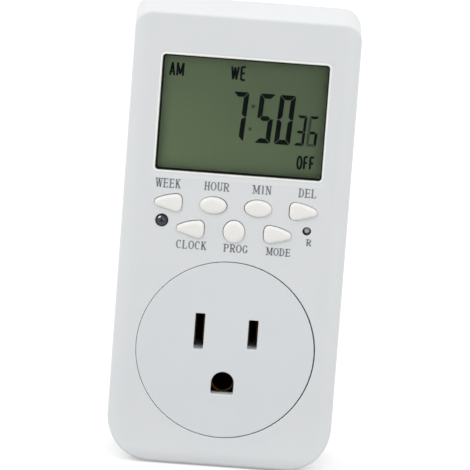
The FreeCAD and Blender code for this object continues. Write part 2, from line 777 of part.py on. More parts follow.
def make_contacts():
    """Line, neutral and ground contacts; the line contact carries on to the power board."""
    width = "line_leaf_width"
    plate = (LOAD_PLATE, LOAD_PLATE + " + strap")
    load = (CARRIER_HALF + " + load_gap", CARRIER_HALF + " + load_gap + load_width")
    rise = POWER_LOW + " + wall"
    line = leaves("line_contact", LINE_X, width)
    line += [
        box("line_tail", (BLADE_SIDE, BLADE_SIDE + " + leaf"), (CONTACT_END, plate[1]), around("0", width)),
        box("load_plate", (BLADE_SIDE, load[1]), plate, around("0", width)),
        box("load_riser", load, plate, ("-%s / 2" % width, rise)),
        box("load_foot", load, (plate[0], POWER), (rise + " - strap", rise)),
        box("load_pad", load, (POWER + " - strap", POWER), (rise + " - strap", rise + " + load_pad")),
    ]
    neutral = leaves("neutral_contact", NEUTRAL_X, "neutral_leaf_width")
    tail = ("-%s - leaf" % BLADE_SIDE, "-" + BLADE_SIDE)
    tail_end = POWER_REAR + " + fit_gap"
    neutral.append(box("neutral_tail", tail, (CONTACT_END, tail_end), around("0", "strap_width")))
    hole = rod("neutral_tail_hole", "x", "-slot_pitch", "0", (NEUTRAL_RIVET, "0"), "rivet_radius")
    spot = ("0", GROUND_Z)
    ahead, barrel_end = CONTACT_START + " - wall", CONTACT_START + " + barrel_length"
    outer = rod("barrel_outer", "y", CONTACT_START, barrel_end, spot, BARREL_RADIUS)
    under = "(%s - %s)" % (GROUND_Z, BARREL_RADIUS)
    plate_back = "-ground_plate_depth"
    strip = box(
        "ground_tail",
        around("0", "2 * pin_radius"),
        (CONTACT_START, plate_back),
        (under + " - leaf", under + " + barrel_wall / 2"),
    )
    plate = box(
        "ground_plate",
        around("0", "ground_plate"),
        (plate_back + " - strap", plate_back),
        (under + " - leaf", GROUND_Z + " + ground_plate / 2"),
    )
    bore = rod("barrel_bore", "y", ahead, barrel_end + " + wall", spot, "pin_radius + barrel_gap")
    slit = box(
        "barrel_slit_cut",
        around("0", "barrel_slit"),
        (ahead, barrel_end + " + leaf"),
        (GROUND_Z, GROUND_Z + " + 2 * pin_radius"),
    )
    shank = rod(
        "ground_rivet_hole", "y", plate_back + " - wall", plate_back + " + leaf", spot, "pin_shank_radius"
    )
    return [
        fuse("line_contact", *line),
        cut("neutral_contact", fuse("neutral_contact_solid", *neutral), hole),
        cut("ground_contact", fuse("ground_contact_solid", outer, strip, plate), bore, slit, shank),
    ]


LINE_RIVET = "(-floor_wall - shoulder_height - rivet_head)"


def blade(name, x, width, depth, rivet_y):
    """Flat plug blade with a bevelled tip, a hole near it and a shoulder inside the case."""
    span = around(x, "blade_thickness")
    strip = box(name + "_strip", span, ("-(%s)" % depth, "blade_length"), around("0", width))
    bevels = doc.addObject("Part::Chamfer", name + "_bevelled")
    bevels.Base = strip
    doc.recompute()
    size = value("blade_tip")
    thin = value("blade_thickness") / 4
    bevels.Edges = [
        (k + 1, size, size) for k, edge in enumerate(strip.Shape.Edges)
        if edge.BoundBox.YMin > value("blade_length") - 0.01 and edge.BoundBox.XLength > thin
    ]
    wide = around("0", width + " + 2 * blade_shoulder")
    shoulder = box(name + "_shoulder", span, (FLOOR + " - shoulder_height", FLOOR), wide)
    through = (span[0] + " - wall", span[1] + " + wall")
    holes = [
        rod(name + "_hole", "x", *through, ("blade_hole_place", "0"), "blade_hole_radius"),
        rod(name + "_rivet_hole", "x", *through, (rivet_y, "0"), "rivet_radius"),
    ]
    return cut(name, fuse(name + "_solid", bevels, shoulder), *holes)


def rivet(name, low, high, y):
    """Rivet through the plates between two places across."""
    shank = rod(name + "_shank", "x", low, high, (y, "0"), "rivet_radius")
    left = rod(name + "_left", "x", "(%s) - rivet_head_height" % low, low, (y, "0"), "rivet_head")
    right = rod(name + "_right", "x", high, "(%s) + rivet_head_height" % high, (y, "0"), "rivet_head")
    return fuse(name, shank, left, right)


def strap(name, left, side, start, end, rivet_y):
    """Bent strip from a blade's side up to a pad on the power board, on the left or on the right."""

    def outwards(low, high):
        return ("-(%s)" % high, "-(%s)" % low) if left else (low, high)

    flat = box(name + "_flat", outwards(side, side + " + strap"), (start, end), around("0", "strap_width"))
    riser = box(
        name + "_riser",
        outwards(side, side + " + strap_reach"),
        (POWER + " - strap", POWER),
        ("rivet_head + fit_gap", POWER_LOW + " + strap_pad"),
    )
    hole = rod(name + "_hole", "x", *outwards("0", "slot_pitch"), (rivet_y, "0"), "rivet_radius")
    return cut(name, fuse(name + "_solid", flat, riser), hole)


def make_plug():
    """Blades, ground pin, straps and rivets."""
    line = blade("line_blade", LINE_X, "line_blade_width", "line_blade_depth", LINE_RIVET)
    neutral = blade("neutral_blade", NEUTRAL_X, "neutral_blade_width", "neutral_blade_depth", NEUTRAL_RIVET)
    front = POWER + " - strap"
    line_strap = strap("line_strap", False, BLADE_SIDE, front, LINE_RIVET + " + rivet_head", LINE_RIVET)
    neutral_side = BLADE_SIDE + " + leaf"
    low = NEUTRAL_RIVET + " - rivet_head"
    neutral_strap = strap("neutral_strap", True, neutral_side, low, POWER_REAR, NEUTRAL_RIVET)
    inner = "slot_pitch / 2 - blade_thickness / 2"
    rivets = group("blade_rivets", [
        rivet("line_rivet", inner, BLADE_SIDE + " + strap", LINE_RIVET),
        rivet("neutral_rivet", "-(%s + strap)" % neutral_side, "-(%s)" % inner, NEUTRAL_RIVET),
    ])
    root = rod("pin_root", "y", FLOOR, "0", ("0", GROUND_Z), "pin_root_radius")
    shank = rod("pin_body", "y", FLOOR, "pin_length - pin_radius", ("0", GROUND_Z), "pin_radius")
    nose = doc.addObject("Part::Sphere", "pin_nose")
    bind(nose, "Radius", "pin_radius")
    place(nose, "0", "pin_length - pin_radius", GROUND_Z)
    spot = ("0", GROUND_Z)
    collar_end = FLOOR + " - pin_collar_height"
    collar = rod("pin_collar", "y", collar_end, FLOOR, spot, "pin_collar_radius")
    plate = "-ground_plate_depth - strap"
    neck = rod("pin_neck", "y", plate, collar_end, spot, "pin_shank_radius")
    thick = rod("pin_step", "y", "-ground_plate_depth", collar_end, spot, "pin_radius")
    head = rod("pin_head", "y", plate + " - rivet_head_height", plate, spot, "pin_radius")
    pin = fuse("ground_pin", root, shank, nose, collar, neck, thick, head)
    return [line, neutral, line_strap, neutral_strap, rivets, pin]


LENS_BACK = "(%s + lens_flange_thick)" % FACE_IN
GLASS = "(%s + glass_gap)" % LENS_BACK
GLASS_BACK = "(%s + glass_thick)" % GLASS


def make_display():
    """Clear window, display glass, its holder and the two rubber connectors."""

    def window_span(grow):
        wide, tall = "%s + 2 * (%s)" % (WINDOW_WIDTH, grow), "%s + 2 * (%s)" % (WINDOW_HEIGHT, grow)
        return around("0", wide), around(WINDOW_Z, tall)

    outline = rounded_box_loop(*window_span("-fit_gap"), "window_corner - fit_gap")
    lens = slab("lens_plate", outline, FACE + " + lens_sink", LENS_BACK)
    wide, tall = window_span("lens_flange")
    window = fuse("display_window", lens, box("lens_rim", wide, (FACE_IN, LENS_BACK), tall))
    tall = around(WINDOW_Z, GLASS_HEIGHT)
    glass = box("lcd_panel", around("0", GLASS_WIDTH), (GLASS, GLASS_BACK), tall)
    across, up = GLASS_WIDTH + " + 2 * glass_gap", GLASS_HEIGHT + " + 2 * glass_gap"
    tall = around(WINDOW_Z, up)
    outer = box(
        "holder_block",
        around("0", across + " + 2 * holder_wall"),
        (LENS_BACK, BOARD),
        around(WINDOW_Z, up + " + 2 * holder_wall"),
    )
    pocket = box("holder_pocket", around("0", across), (LENS_BACK + " - wall", GLASS_BACK), tall)
    between = GLASS_WIDTH + " - 2 * holder_ledge"
    well = box("holder_well", around("0", between), (GLASS_BACK + " - wall", BOARD + " + wall"), tall)
    holder = cut("lcd_holder", outer, pocket, well)
    strips = []
    for k, sign in enumerate("+-"):
        edge = "%s %s (%s / 2 - zebra_thick / 2)" % (WINDOW_Z, sign, GLASS_HEIGHT)
        wide = around("0", between + " - 2 * zebra_gap")
        strips.append(box("zebra_%d" % k, wide, (GLASS_BACK, BOARD), around(edge, "zebra_thick")))
    return [window, glass, holder, group("zebra_strips", strips)]


def make_control_board():
    """Display board with its screws, chip and crystal."""
    thick, through = (BOARD, BOARD_REAR), (BOARD + " - wall", BOARD_REAR + " + wall")
    plate = box("control_plate", ("-" + CONTROL_HALF, CONTROL_HALF), thick, (CONTROL_LOW, SHOULDER))
    high = TAB_SCREW_Z + " + tab_edge"
    top = box("control_tab", ("-" + TAB_HALF, TAB_HALF), thick, (SHOULDER + " - wall", high))
    holes = posts("control_hole", BOARD_SCREWS, *through, "board_screw_radius + fit_gap")
    holes += posts("led_hole", LED_LEADS, *through, "led_lead_radius")
    holes += posts("control_header_hole", HEADER, *through, "header_pin")
    board = cut("control_board", fuse("control_solid", plate, top), *holes)
    sizes = ["board_screw_length", "board_screw_radius", "board_head_radius", "board_head_height"]
    fixings = screws("board_screws", BOARD_SCREWS, BOARD_REAR, *sizes)
    chip = box(
        "controller_chip",
        around("chip_x", "chip_side"),
        (BOARD_REAR, BOARD_REAR + " + chip_thick"),
        around(WINDOW_Z + " - chip_drop", "chip_side"),
    )
    span = around("crystal_x", "crystal_length")
    spot = (BOARD_REAR + " + crystal_radius", WINDOW_Z + " + crystal_rise")
    crystal = rod("clock_crystal", "x", *span, spot, "crystal_radius")
    return [board, fixings, chip, crystal]


LED_LEADS = [
    ("-%s - led_lead_pitch / 2" % PILOT_X, PILOT_Z),
    ("-%s + led_lead_pitch / 2" % PILOT_X, PILOT_Z),
]
HEADER_PINS = 6
HEADER_Z = "(%s + header_rise)" % WINDOW_Z
HEADER = [
    ("header_x + header_pitch * %.1f" % (k - (HEADER_PINS - 1) / 2), HEADER_Z) for k in range(HEADER_PINS)
]


def make_led():
    """Round indicator with a domed end that shows in the face."""
    spot = ("-" + PILOT_X, PILOT_Z)
    dome_y = FACE + " - led_proud + led_radius"
    base = FACE + " - led_proud + led_length"
    barrel = rod("led_barrel", "y", dome_y, base, spot, "led_radius")
    dome = doc.addObject("Part::Sphere", "led_dome")
    bind(dome, "Radius", "led_radius")
    place(dome, spot[0], dome_y, spot[1])
    rim = rod("led_rim", "y", base + " - led_flange_thick", base, spot, "led_radius + led_flange")
    root, tip = base + " - led_flange_thick / 2", BOARD_REAR + " + led_lead_radius"
    leads = posts("led_lead", LED_LEADS, root, tip, "led_lead_radius")
    return fuse("indicator_led", barrel, dome, rim, *leads)


def make_keys():
    """Caps with a flange behind the face and a stem that works in the bore of its own switch."""
    made, housings, domes = [], [], []
    flange_start = FACE_IN + " + key_rest_gap"
    flange_end = flange_start + " + key_flange_thick"
    switch_front = BOARD + " - switch_height"
    stem_end = switch_front + " + stem_entry"
    bore_end = stem_end + " + key_travel + dome_gap + dome_rise"
    for name, kind, x, z in KEYS:
        reset = kind == "reset"
        front = FACE + (" + reset_sink" if reset else " - key_proud")
        cap = key_solid(name + "_cap", kind, x, z, "0", front, flange_end)
        if not reset:
            cap = rounded(name + "_rounded", cap, "key_round", in_front_of(FACE + " - key_proud / 2"))
        grow = "reset_flange" if reset else "key_flange"
        flange = key_solid(name + "_flange", kind, x, z, grow, flange_start, flange_end)
        stem = rod(name + "_stem", "y", flange_start, stem_end, (x, z), "stem_radius")
        made.append(fuse(name, cap, flange, stem))
        wide, tall = around(x, "switch_side"), around(z, "switch_side")
        housing = box(name + "_housing", wide, (switch_front, BOARD), tall)
        bore = rod(name + "_bore", "y", switch_front + " - wall", bore_end, (x, z), "stem_radius + stem_gap")
        housings.append(cut(name + "_switch", housing, bore))
        disc = rod(name + "_snap_base", "y", bore_end + " - dome_rise / 2", bore_end, (x, z), "dome_radius")
        top = rod(name + "_snap_top", "y", bore_end + " - dome_rise", bore_end, (x, z), "dome_top_radius")
        domes.append(fuse(name + "_snap", disc, top))
    return made + [group("key_switches", housings), group("switch_domes", domes)]


DIODES = 4
RESISTORS = 3


def axial(name, x, z, radius, length):
    """Round body lying along Z on the power board, with bent leads at both ends."""
    y = POWER + " - (%s)" % radius
    reach = "(%s) / 2 + lead_reach" % length
    body = rod(name + "_body", "z", *around(z, length), (x, y), radius)
    low, high = "(%s) - (%s)" % (z, reach), "(%s) + (%s)" % (z, reach)
    wire = rod(name + "_wire", "z", low, high, (x, y), "lead_radius")
    legs = [
        rod("%s_leg_%d" % (name, k), "y", y, POWER, (x, end), "lead_radius")
        for k, end in enumerate((low, high))
    ]
    return fuse(name, body, wire, *legs)


def make_power_board():
    """Mains board with the capacitive supply, the battery and the link to the display board."""
    plate = box("power_plate", ("-" + POWER_HALF, POWER_HALF), (POWER, POWER_REAR), (POWER_LOW, SHOULDER))
    through = (POWER + " - wall", POWER_REAR + " + wall")
    holes = posts("power_hole", POWER_SCREWS, *through, "board_screw_radius + fit_gap")
    holes += posts("power_header_hole", HEADER, *through, "header_pin")
    board = cut("power_board", plate, *holes)
    fixings = front_screws()
    dropper = box(
        "dropper_capacitor",
        around("dropper_x", "dropper_width"),
        (POWER + " - dropper_height", POWER),
        around("dropper_z", "dropper_length"),
    )
    spot = ("smoother_x", "smoother_z")
    top = POWER + " - smoother_height"
    smoother = rod("smoothing_capacitor", "y", top, POWER, spot, "smoother_radius")
    diodes = []
    for k in range(DIODES):
        x = "diode_x + diode_pitch * %.1f" % (k - (DIODES - 1) / 2)
        diodes.append(axial("diode_%d" % k, x, "diode_z", "diode_radius", "diode_length"))
    resistors = []
    for k in range(RESISTORS):
        x = "resistor_x + resistor_pitch * %.1f" % (k - (RESISTORS - 1) / 2)
        resistors.append(axial("resistor_%d" % k, x, "resistor_z", "resistor_radius", "resistor_length"))
    diodes, resistors = group("rectifier_diodes", diodes), group("resistors", resistors)
    lift = POWER + " - varistor_lift"
    spot = (lift + " - varistor_radius", "varistor_z")
    disc = rod("varistor_disc", "x", *around("varistor_x", "varistor_thick"), spot, "varistor_radius")
    places = [("varistor_x", end) for end in around("varistor_z", "varistor_radius")]
    legs = posts("varistor_leg", places, lift + " - varistor_radius / 2", POWER, "lead_radius")
    varistor = fuse("varistor", disc, *legs)
    base = POWER + " - transistor_lift"
    top, spot = base + " - transistor_height", ("transistor_x", "transistor_z")
    can = rod("transistor_can", "y", top, base, spot, "transistor_radius")
    flat = box(
        "transistor_flat_cut",
        ("transistor_x + transistor_flat", "transistor_x + 2 * transistor_radius"),
        (top + " - wall", base + " + wall"),
        around("transistor_z", "4 * transistor_radius"),
    )
    places = [("transistor_x", "transistor_z + transistor_pitch * %d" % k) for k in (-1, 0, 1)]
    pins = posts("transistor_pin", places, base + " - lead_radius", POWER, "lead_radius")
    transistor = fuse("relay_transistor", cut("transistor_body", can, flat), *pins)
    return [board, fixings, dropper, smoother, diodes, resistors, varistor, transistor]


def front_screws():
    """Screws of the power board, driven from the front into the posts of the rear cover."""
    made = []
    tip, top = POWER + " + power_screw_length", POWER + " - board_head_height"
    for k, spot in enumerate(POWER_SCREWS):
        shank = rod("power_screw_shank_%d" % k, "y", POWER, tip, spot, "board_screw_radius")
        head = rod("power_screw_head_%d" % k, "y", top, POWER, spot, "board_head_radius")
        made.append(fuse("power_screw_%d" % k, shank, head))
    return group("power_screws", made)


def make_battery_and_header():
    """Cell stack with welded tabs, and the pin header that joins the two boards."""
    ends = around("battery_x", "battery_length")
    y = POWER + " - battery_radius"
    cell = rod("backup_battery", "x", *ends, (y, "battery_z"), "battery_radius")
    spans = [("(%s) - tab_thick" % ends[0], ends[0]), (ends[1], "(%s) + tab_thick" % ends[1])]
    tabs = group("battery_tabs", [
        box("battery_tab_%d" % k, span, (y + " - tab_width / 2", POWER), around("battery_z", "tab_width"))
        for k, span in enumerate(spans)
    ])
    wide = around("header_x", "header_pitch * %d" % HEADER_PINS)
    top = POWER + " - header_height"
    strip = box("header_strip", wide, (top, POWER), around(HEADER_Z, "header_pitch"))
    holes = posts("strip_hole", HEADER, top + " - wall", POWER + " + wall", "header_pin")
    strip_cut = cut("board_header", strip, *holes)
    ends = (BOARD + " - header_stub", POWER_REAR + " + header_stub")
    pins = group("header_pins", posts("header_wire", HEADER, *ends, "header_pin"))
    return [cell, tabs, strip_cut, pins]


CONTACT_OUT = "(relay_contact_side + relay_contact_radius + relay_contact_room)"
RELAY_WIDTH = "(2 * (relay_wall + bobbin_radius) + bobbin_side_gap + %s)" % CONTACT_OUT
COIL_X = "(relay_x - %s / 2 + relay_wall + bobbin_side_gap + bobbin_radius)" % RELAY_WIDTH
RELAY_CONTACT_X = "(%s + bobbin_radius + relay_contact_side)" % COIL_X
RELAY_FLOOR = "(%s - relay_base)" % POWER
COIL_Y = "(%s - yoke_thick - bobbin_gap - bobbin_radius)" % RELAY_FLOOR
RELAY_TOP = "(%s - bobbin_radius - bobbin_front_gap - relay_wall)" % COIL_Y
RELAY_CONTACT_Y = "(%s - relay_contact_rise)" % COIL_Y
YOKE_START = "(relay_z - relay_length / 2 + relay_wall + yoke_gap)"
COIL_START = "(%s + yoke_thick)" % YOKE_START
ARMATURE_END = "(relay_z + relay_length / 2 - relay_wall - armature_room - spring_thick)"
ARMATURE = "(%s - armature_thick)" % ARMATURE_END
CORE_END = "(%s - armature_gap)" % ARMATURE
COIL_END = "(%s - core_proud)" % CORE_END


def make_relay():
    """Relay with an open view of its works inside a thin cover: coil, yoke, armature and contacts."""
    x, z = around("relay_x", RELAY_WIDTH), around("relay_z", "relay_length")
    base = box("relay_base", x, (RELAY_FLOOR, POWER), z)
    outer = box("relay_case_outer", x, (RELAY_TOP, RELAY_FLOOR), z)
    inner = box(
        "relay_case_inner",
        around("relay_x", RELAY_WIDTH + " - 2 * relay_wall"),
        (RELAY_TOP + " + relay_wall", RELAY_FLOOR + " + wall"),
        around("relay_z", "relay_length - 2 * relay_wall"),
    )
    cover = cut("relay_case", outer, inner)
    spot = (COIL_X, COIL_Y)
    winding = rod("coil_winding", "z", COIL_START, COIL_END, spot, "coil_radius")
    ends = [
        rod("bobbin_end_0", "z", COIL_START, COIL_START + " + bobbin_flange", spot, "bobbin_radius"),
        rod("bobbin_end_1", "z", COIL_END + " - bobbin_flange", COIL_END, spot, "bobbin_radius"),
    ]
    coil_bore = rod("coil_bore", "z", COIL_START + " - wall", COIL_END + " + wall", spot, "core_radius")
    coil = cut("relay_coil", fuse("coil_solid", winding, *ends), coil_bore)
    core = rod("relay_core", "z", COIL_START, CORE_END, spot, "core_radius")
    yoke_x = around(COIL_X, "yoke_width")
    plate = box("yoke_plate", yoke_x, (RELAY_FLOOR + " - yoke_thick", RELAY_FLOOR), (YOKE_START, CORE_END))
    upright = box("yoke_upright", yoke_x, (COIL_Y + " - core_radius", RELAY_FLOOR), (YOKE_START, COIL_START))
    yoke = fuse("relay_yoke", plate, upright)
    armature = box(
        "relay_armature",
        around(COIL_X, "armature_width"),
        (COIL_Y + " - armature_reach", RELAY_FLOOR + " - fit_gap"),
        (ARMATURE, ARMATURE_END),
    )
    edge = RELAY_CONTACT_X + " + relay_contact_radius + spring_edge"
    leaf = box(
        "relay_leaf",
        (COIL_X + " - armature_width / 2 + spring_inset", edge),
        around(RELAY_CONTACT_Y, "spring_height"),
        (ARMATURE_END, ARMATURE_END + " + spring_thick"),
    )
    spot = (RELAY_CONTACT_X, RELAY_CONTACT_Y)
    low = ARMATURE + " + relay_contact_height"
    moving = rod("relay_moving_button", "z", low, ARMATURE_END, spot, "relay_contact_radius")
    fixed_top = low + " - relay_contact_gap"
    fixed_low = fixed_top + " - relay_contact_height"
    fixed = rod("relay_fixed_button", "z", fixed_low, fixed_top, spot, "relay_contact_radius")
    post = box(
        "relay_post",
        around(RELAY_CONTACT_X, "post_width"),
        (RELAY_CONTACT_Y + " - relay_contact_radius", RELAY_FLOOR),
        (fixed_low + " - strap", fixed_low),
    )
    return [
        base,
        cover,
        coil,
        core,
        yoke,
        armature,
        fuse("relay_moving_contact", leaf, moving),
        fuse("relay_fixed_contact", fixed, post),
    ]


def make_all():
    nodes = [make_front_cover(), make_rear_cover()]
    sizes = ["case_screw_length", "case_screw_radius", "case_head_radius", "case_head_height"]
    nodes.append(screws("case_screws", CASE_SCREWS, "-case_head_depth", *sizes))
    nodes += [make_socket_face(), make_contact_carrier()]
    sizes = ["ear_screw_length", "ear_screw_radius", "ear_head_radius", "ear_head_height"]
    nodes.append(screws("carrier_screws", EARS, DISC_BACK + " + ear_boss + ear_thick", *sizes))
    nodes += make_contacts() + make_plug() + make_display() + make_control_board()
    nodes.append(make_led())
    nodes += make_keys() + make_power_board() + make_battery_and_header() + make_relay()
    return nodes


nodes = make_all()
doc.recompute()
for item in doc.Objects:
    bad = [word for word in item.State if word in ("Invalid", "Error")]
    if bad:
        raise RuntimeError("%s is %s" % (item.Name, bad))
os.makedirs("parts", exist_ok=True)
for node in nodes:
    if node.Shape.isNull() or not node.Shape.isValid() or node.Shape.Volume <= 0:
        raise RuntimeError("%s has a bad shape" % node.Label)
    node.Shape.exportStep(os.path.join("parts", node.Label + ".step"))
    span = node.Shape.BoundBox
    print("%-22s %2d solids %9.2f mm3 x %.2f %.2f y %.2f %.2f z %.2f %.2f" % (
        node.Label, len(node.Shape.Solids), node.Shape.Volume,
        span.XMin, span.XMax, span.YMin, span.YMax, span.ZMin, span.ZMax))
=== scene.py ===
import math
import bmesh
import bpy
import numpy as np
from mathutils import Matrix, Vector


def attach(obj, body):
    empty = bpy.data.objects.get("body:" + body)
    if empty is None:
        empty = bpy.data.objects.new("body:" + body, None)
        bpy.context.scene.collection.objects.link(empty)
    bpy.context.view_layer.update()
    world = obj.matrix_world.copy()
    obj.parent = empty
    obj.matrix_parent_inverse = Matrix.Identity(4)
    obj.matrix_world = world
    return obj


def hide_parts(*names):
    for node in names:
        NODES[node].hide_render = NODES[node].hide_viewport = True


# A white plug-in timer: display and keys above a grounded socket, seen a little from above.
# Shapes are worked out in millimetres in the CAD frame, X to the right, Y towards the wall and Z up, and
# are written to the meshes in metres.

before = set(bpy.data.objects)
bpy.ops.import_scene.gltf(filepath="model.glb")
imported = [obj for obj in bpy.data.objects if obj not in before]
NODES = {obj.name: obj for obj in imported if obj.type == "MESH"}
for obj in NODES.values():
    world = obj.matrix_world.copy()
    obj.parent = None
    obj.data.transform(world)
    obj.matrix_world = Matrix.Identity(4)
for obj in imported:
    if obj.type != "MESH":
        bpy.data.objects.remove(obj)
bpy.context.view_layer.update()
MM = 0.001


# Sizes and places that come from the solids, in mm
def at(name, axis, side):
    """Place along X, Y or Z on a CAD node, to 0.01 mm: its lowest (-1), middle (0) or highest (1)."""
    verts = NODES[name].data.vertices
    spots = np.empty(3 * len(verts))
    verts.foreach_get("co", spots)
    along = spots["XYZ".index(axis)::3] / MM
    return round(((1 - side) * along.min() + (1 + side) * along.max()) / 2, 2)


FACE = at("front_cover", "Y", -1)
SPLIT = at("front_cover", "Y", 1)
HALF_WIDTH = at("front_cover", "X", 1)
TOP = at("front_cover", "Z", 1)
BOTTOM = at("front_cover", "Z", -1)
DISC_Z = at("socket_face", "Z", 0)
INSERT_BACK = at("contact_carrier", "Y", -1)
BOARD_FRONT = at("control_board", "Y", -1)
LENS_FRONT = at("display_window", "Y", -1)
LENS_BACK = at("display_window", "Y", 1)
GLASS_Y = at("lcd_panel", "Y", -1)
PILOT_X = at("reset_plunger", "X", 0)
PILOT_Z = at("reset_plunger", "Z", 0)
CAP_TOP = at("button_program", "Y", -1)
STEM_END = at("button_program", "Y", 1)

# Finer sizes, in mm, those outside read from the photo. First the thickness of the face and of the other
# walls, and the insides of the face and of the rear wall.
PLATE = 2.2
WALL = 2.0
FACE_IN = FACE + PLATE
FLOOR = -WALL
DRAFT = math.tan(math.radians(0.75))
# Radii of the upper and lower corners, and the least that a row further in keeps
CORNER_TOP = 4.6
CORNER_LOW = 11.3
CORNER_LEAST = 0.4
# Rounding of the face's edge, radius of the crown, and its width at the sides and at the bottom
EDGE_ROUND = 0.6
CROWN = 7.7
SIDE_CROWN = 4.6
LOW_CROWN = 4.0
# Radius of the socket insert, places of the blades and the ground pin, and height of the reset tip
DISC = 21.05
BLADE_X = 6.35
GROUND_Z = -11.9
RESET_Z = PILOT_Z - 0.16

# Camera of the photo, fitted to the socket openings and the case edges
FOCAL_PIXELS = 4781.0
FRAME_PIXELS = 470.0
SENSOR = 36.0
TURN = (4.264, -0.5, 9.114)
# Middle of the slots, as the camera has it: across, down and away in mm
SLOTS_SEEN = (-2.11, 23.263, 1131.84)


def make_camera():
    """Camera turned by a roll, then a yaw, then a tilt, with the slots where the photo has them."""
    roll, yaw, tilt = (math.radians(angle) for angle in TURN)
    turn = Matrix.Rotation(roll, 3, "Z") @ Matrix.Rotation(yaw, 3, "Y") @ Matrix.Rotation(tilt, 3, "X")
    axes = turn @ Matrix(((1, 0, 0), (0, 0, -1), (0, 1, 0)))
    place = -np.array(axes).T @ np.array(SLOTS_SEEN)
    place[1] += FACE
    flip = Matrix(((1, 0, 0), (0, -1, 0), (0, 0, -1)))
    pose = (flip @ axes).transposed().to_4x4()
    pose.translation = (place * MM).tolist()
    data = bpy.data.cameras.new("photo_camera")
    data.sensor_width = SENSOR
    data.lens = SENSOR * FOCAL_PIXELS / FRAME_PIXELS
    camera = bpy.data.objects.new("photo_camera", data)
    camera.matrix_world = pose
    bpy.context.scene.collection.objects.link(camera)
    bpy.context.scene.camera = camera
    return place


CAMERA_AT = make_camera()


# Outlines: points across and up, with outward normals, anticlockwise seen from the front
def ring(x, z, radius, count=96):
    """Circle: centre plus radius times (cos, sin) of even angles."""
    turn = np.linspace(0, 2 * np.pi, count, endpoint=False)
    out = np.stack([np.cos(turn), np.sin(turn)], 1)
    return np.array([x, z]) + radius * out, out


def oval(x, z, half_x, half_z, count=96):
    """Ellipse: (a cos t, b sin t), whose normal is along (cos t / a, sin t / b)."""
    turn = np.linspace(0, 2 * np.pi, count, endpoint=False)
    out = np.stack([np.cos(turn) / half_x, np.sin(turn) / half_z], 1)
    out /= np.linalg.norm(out, axis=1)[:, None]
    return np.stack([x + half_x * np.cos(turn), z + half_z * np.sin(turn)], 1), out


def belt(circles, bend=16, run=6, swell=None):
    """Belt round circles (x, z, radius): an arc on each circle and a run to the next.

    It leaves a circle for the next at the angle a - 90 deg + asin((r0 - r1) / d). A run is straight, or
    swells outwards as 4 s (1 - s) times its own swell in mm.
    """
    here = np.array(circles, float)
    nxt = np.roll(here, -1, axis=0)
    gap = nxt[:, :2] - here[:, :2]
    away = np.hypot(gap[:, 0], gap[:, 1])
    leave = np.arctan2(gap[:, 1], gap[:, 0]) - np.pi / 2 + np.arcsin((here[:, 2] - nxt[:, 2]) / away)
    enter = np.roll(leave, 1)
    leave = leave + 2 * np.pi * np.ceil((enter - leave) / (2 * np.pi))
    spots, outs = [], []
    for k in range(len(here)):
        turn = np.linspace(enter[k], leave[k], bend + 1)
        out = np.stack([np.cos(turn), np.sin(turn)], 1)
        arc = here[k, :2] + here[k, 2] * out
        start = nxt[k, :2] + nxt[k, 2] * out[-1]
        share = np.linspace(0, 1, run + 1)[1:-1, None]
        lift = 4 * share * (1 - share) * (swell[k] if swell else 0.0)
        spots += [arc, arc[-1] + (start - arc[-1]) * share + lift * out[-1]]
        outs += [out, np.repeat(out[-1:], run - 1, axis=0)]
    return np.concatenate(spots), np.concatenate(outs)


def rounded_box(x0, x1, z0, z1, radius, bend=8, run=12):
    """Belt round four equal circles."""
    x0, x1, z0, z1 = x0 + radius, x1 - radius, z0 + radius, z1 - radius
    return belt([(x0, z0, radius), (x1, z0, radius), (x1, z1, radius), (x0, z1, radius)], bend, run)


def case_outline(inset=0.0):
    """Outline of the case moved inwards: a belt round two large corners below and two small ones above."""
    low, high = CORNER_LOW - inset, max(CORNER_TOP - inset, CORNER_LEAST)
    wide, foot, head = HALF_WIDTH - inset, BOTTOM + inset, TOP - inset
    circles = [(low - wide, foot + low, low), (wide - low, foot + low, low)]
    circles += [(wide - high, head - high, high), (high - wide, head - high, high)]
    return belt(circles, bend=28, run=28)


# Half the width and height of the oval and the round key
OVAL_KEY = (3.2, 2.0)
ROUND_KEY = (2.53, 2.68)
# Drop-shaped key: its tip's reach and radius, its heel's reach, half height and radius, and how far its
# upper side and its other two sides swell
DROP_TIP = (2.33, 0.9)
DROP_HEEL = (1.97, 0.84, 1.27)
DROP_UPPER, DROP_OTHER = 0.2, 0.05


def key_outline(kind, x, z):
    """Outline of a key: an ellipse, or a drop with its tip outwards, as a belt round its tip and its heel."""
    if kind == "oval":
        return oval(x, z, *OVAL_KEY)
    if kind == "round":
        return oval(x, z, *ROUND_KEY)
    side = -1 if kind == "left drop" else 1
    tip = (x + side * DROP_TIP[0], z, DROP_TIP[1])
    back, spread, radius = DROP_HEEL
    low, high = ((x - side * back, z + up * spread, radius) for up in (-1, 1))
    if side > 0:
        return belt([tip, high, low], 24, 10, (DROP_UPPER, DROP_OTHER, DROP_OTHER))
    return belt([tip, low, high], 24, 10, (DROP_OTHER, DROP_OTHER, DROP_UPPER))


# Surfaces: points, and groups of faces with equal numbers of corners
def level(outline, grow, y):
    """One row of points: the outline moved outwards by grow, at depth y."""
    spots, outs = outline
    flat = spots + np.reshape(grow, (-1, 1)) * outs
    return np.stack([flat[:, 0], np.broadcast_to(y, len(flat)), flat[:, 1]], 1)


def sleeve(rows):
    """Quads between neighbouring closed rows of equal length."""
    rows = np.array(rows)
    deep, wide = rows.shape[:2]
    index = np.arange(deep * wide).reshape(deep, wide)
    right = np.roll(index, -1, axis=1)
    quads = np.stack([index[:-1], right[:-1], right[1:], index[1:]], -1).reshape(-1, 4)
    return rows.reshape(-1, 3), [quads]


def carried(outline, profile):
    """Sleeve of an outline carried along a profile: how far outwards and how deep, row by row."""
    return sleeve([level(outline, grow, y) for grow, y in profile])


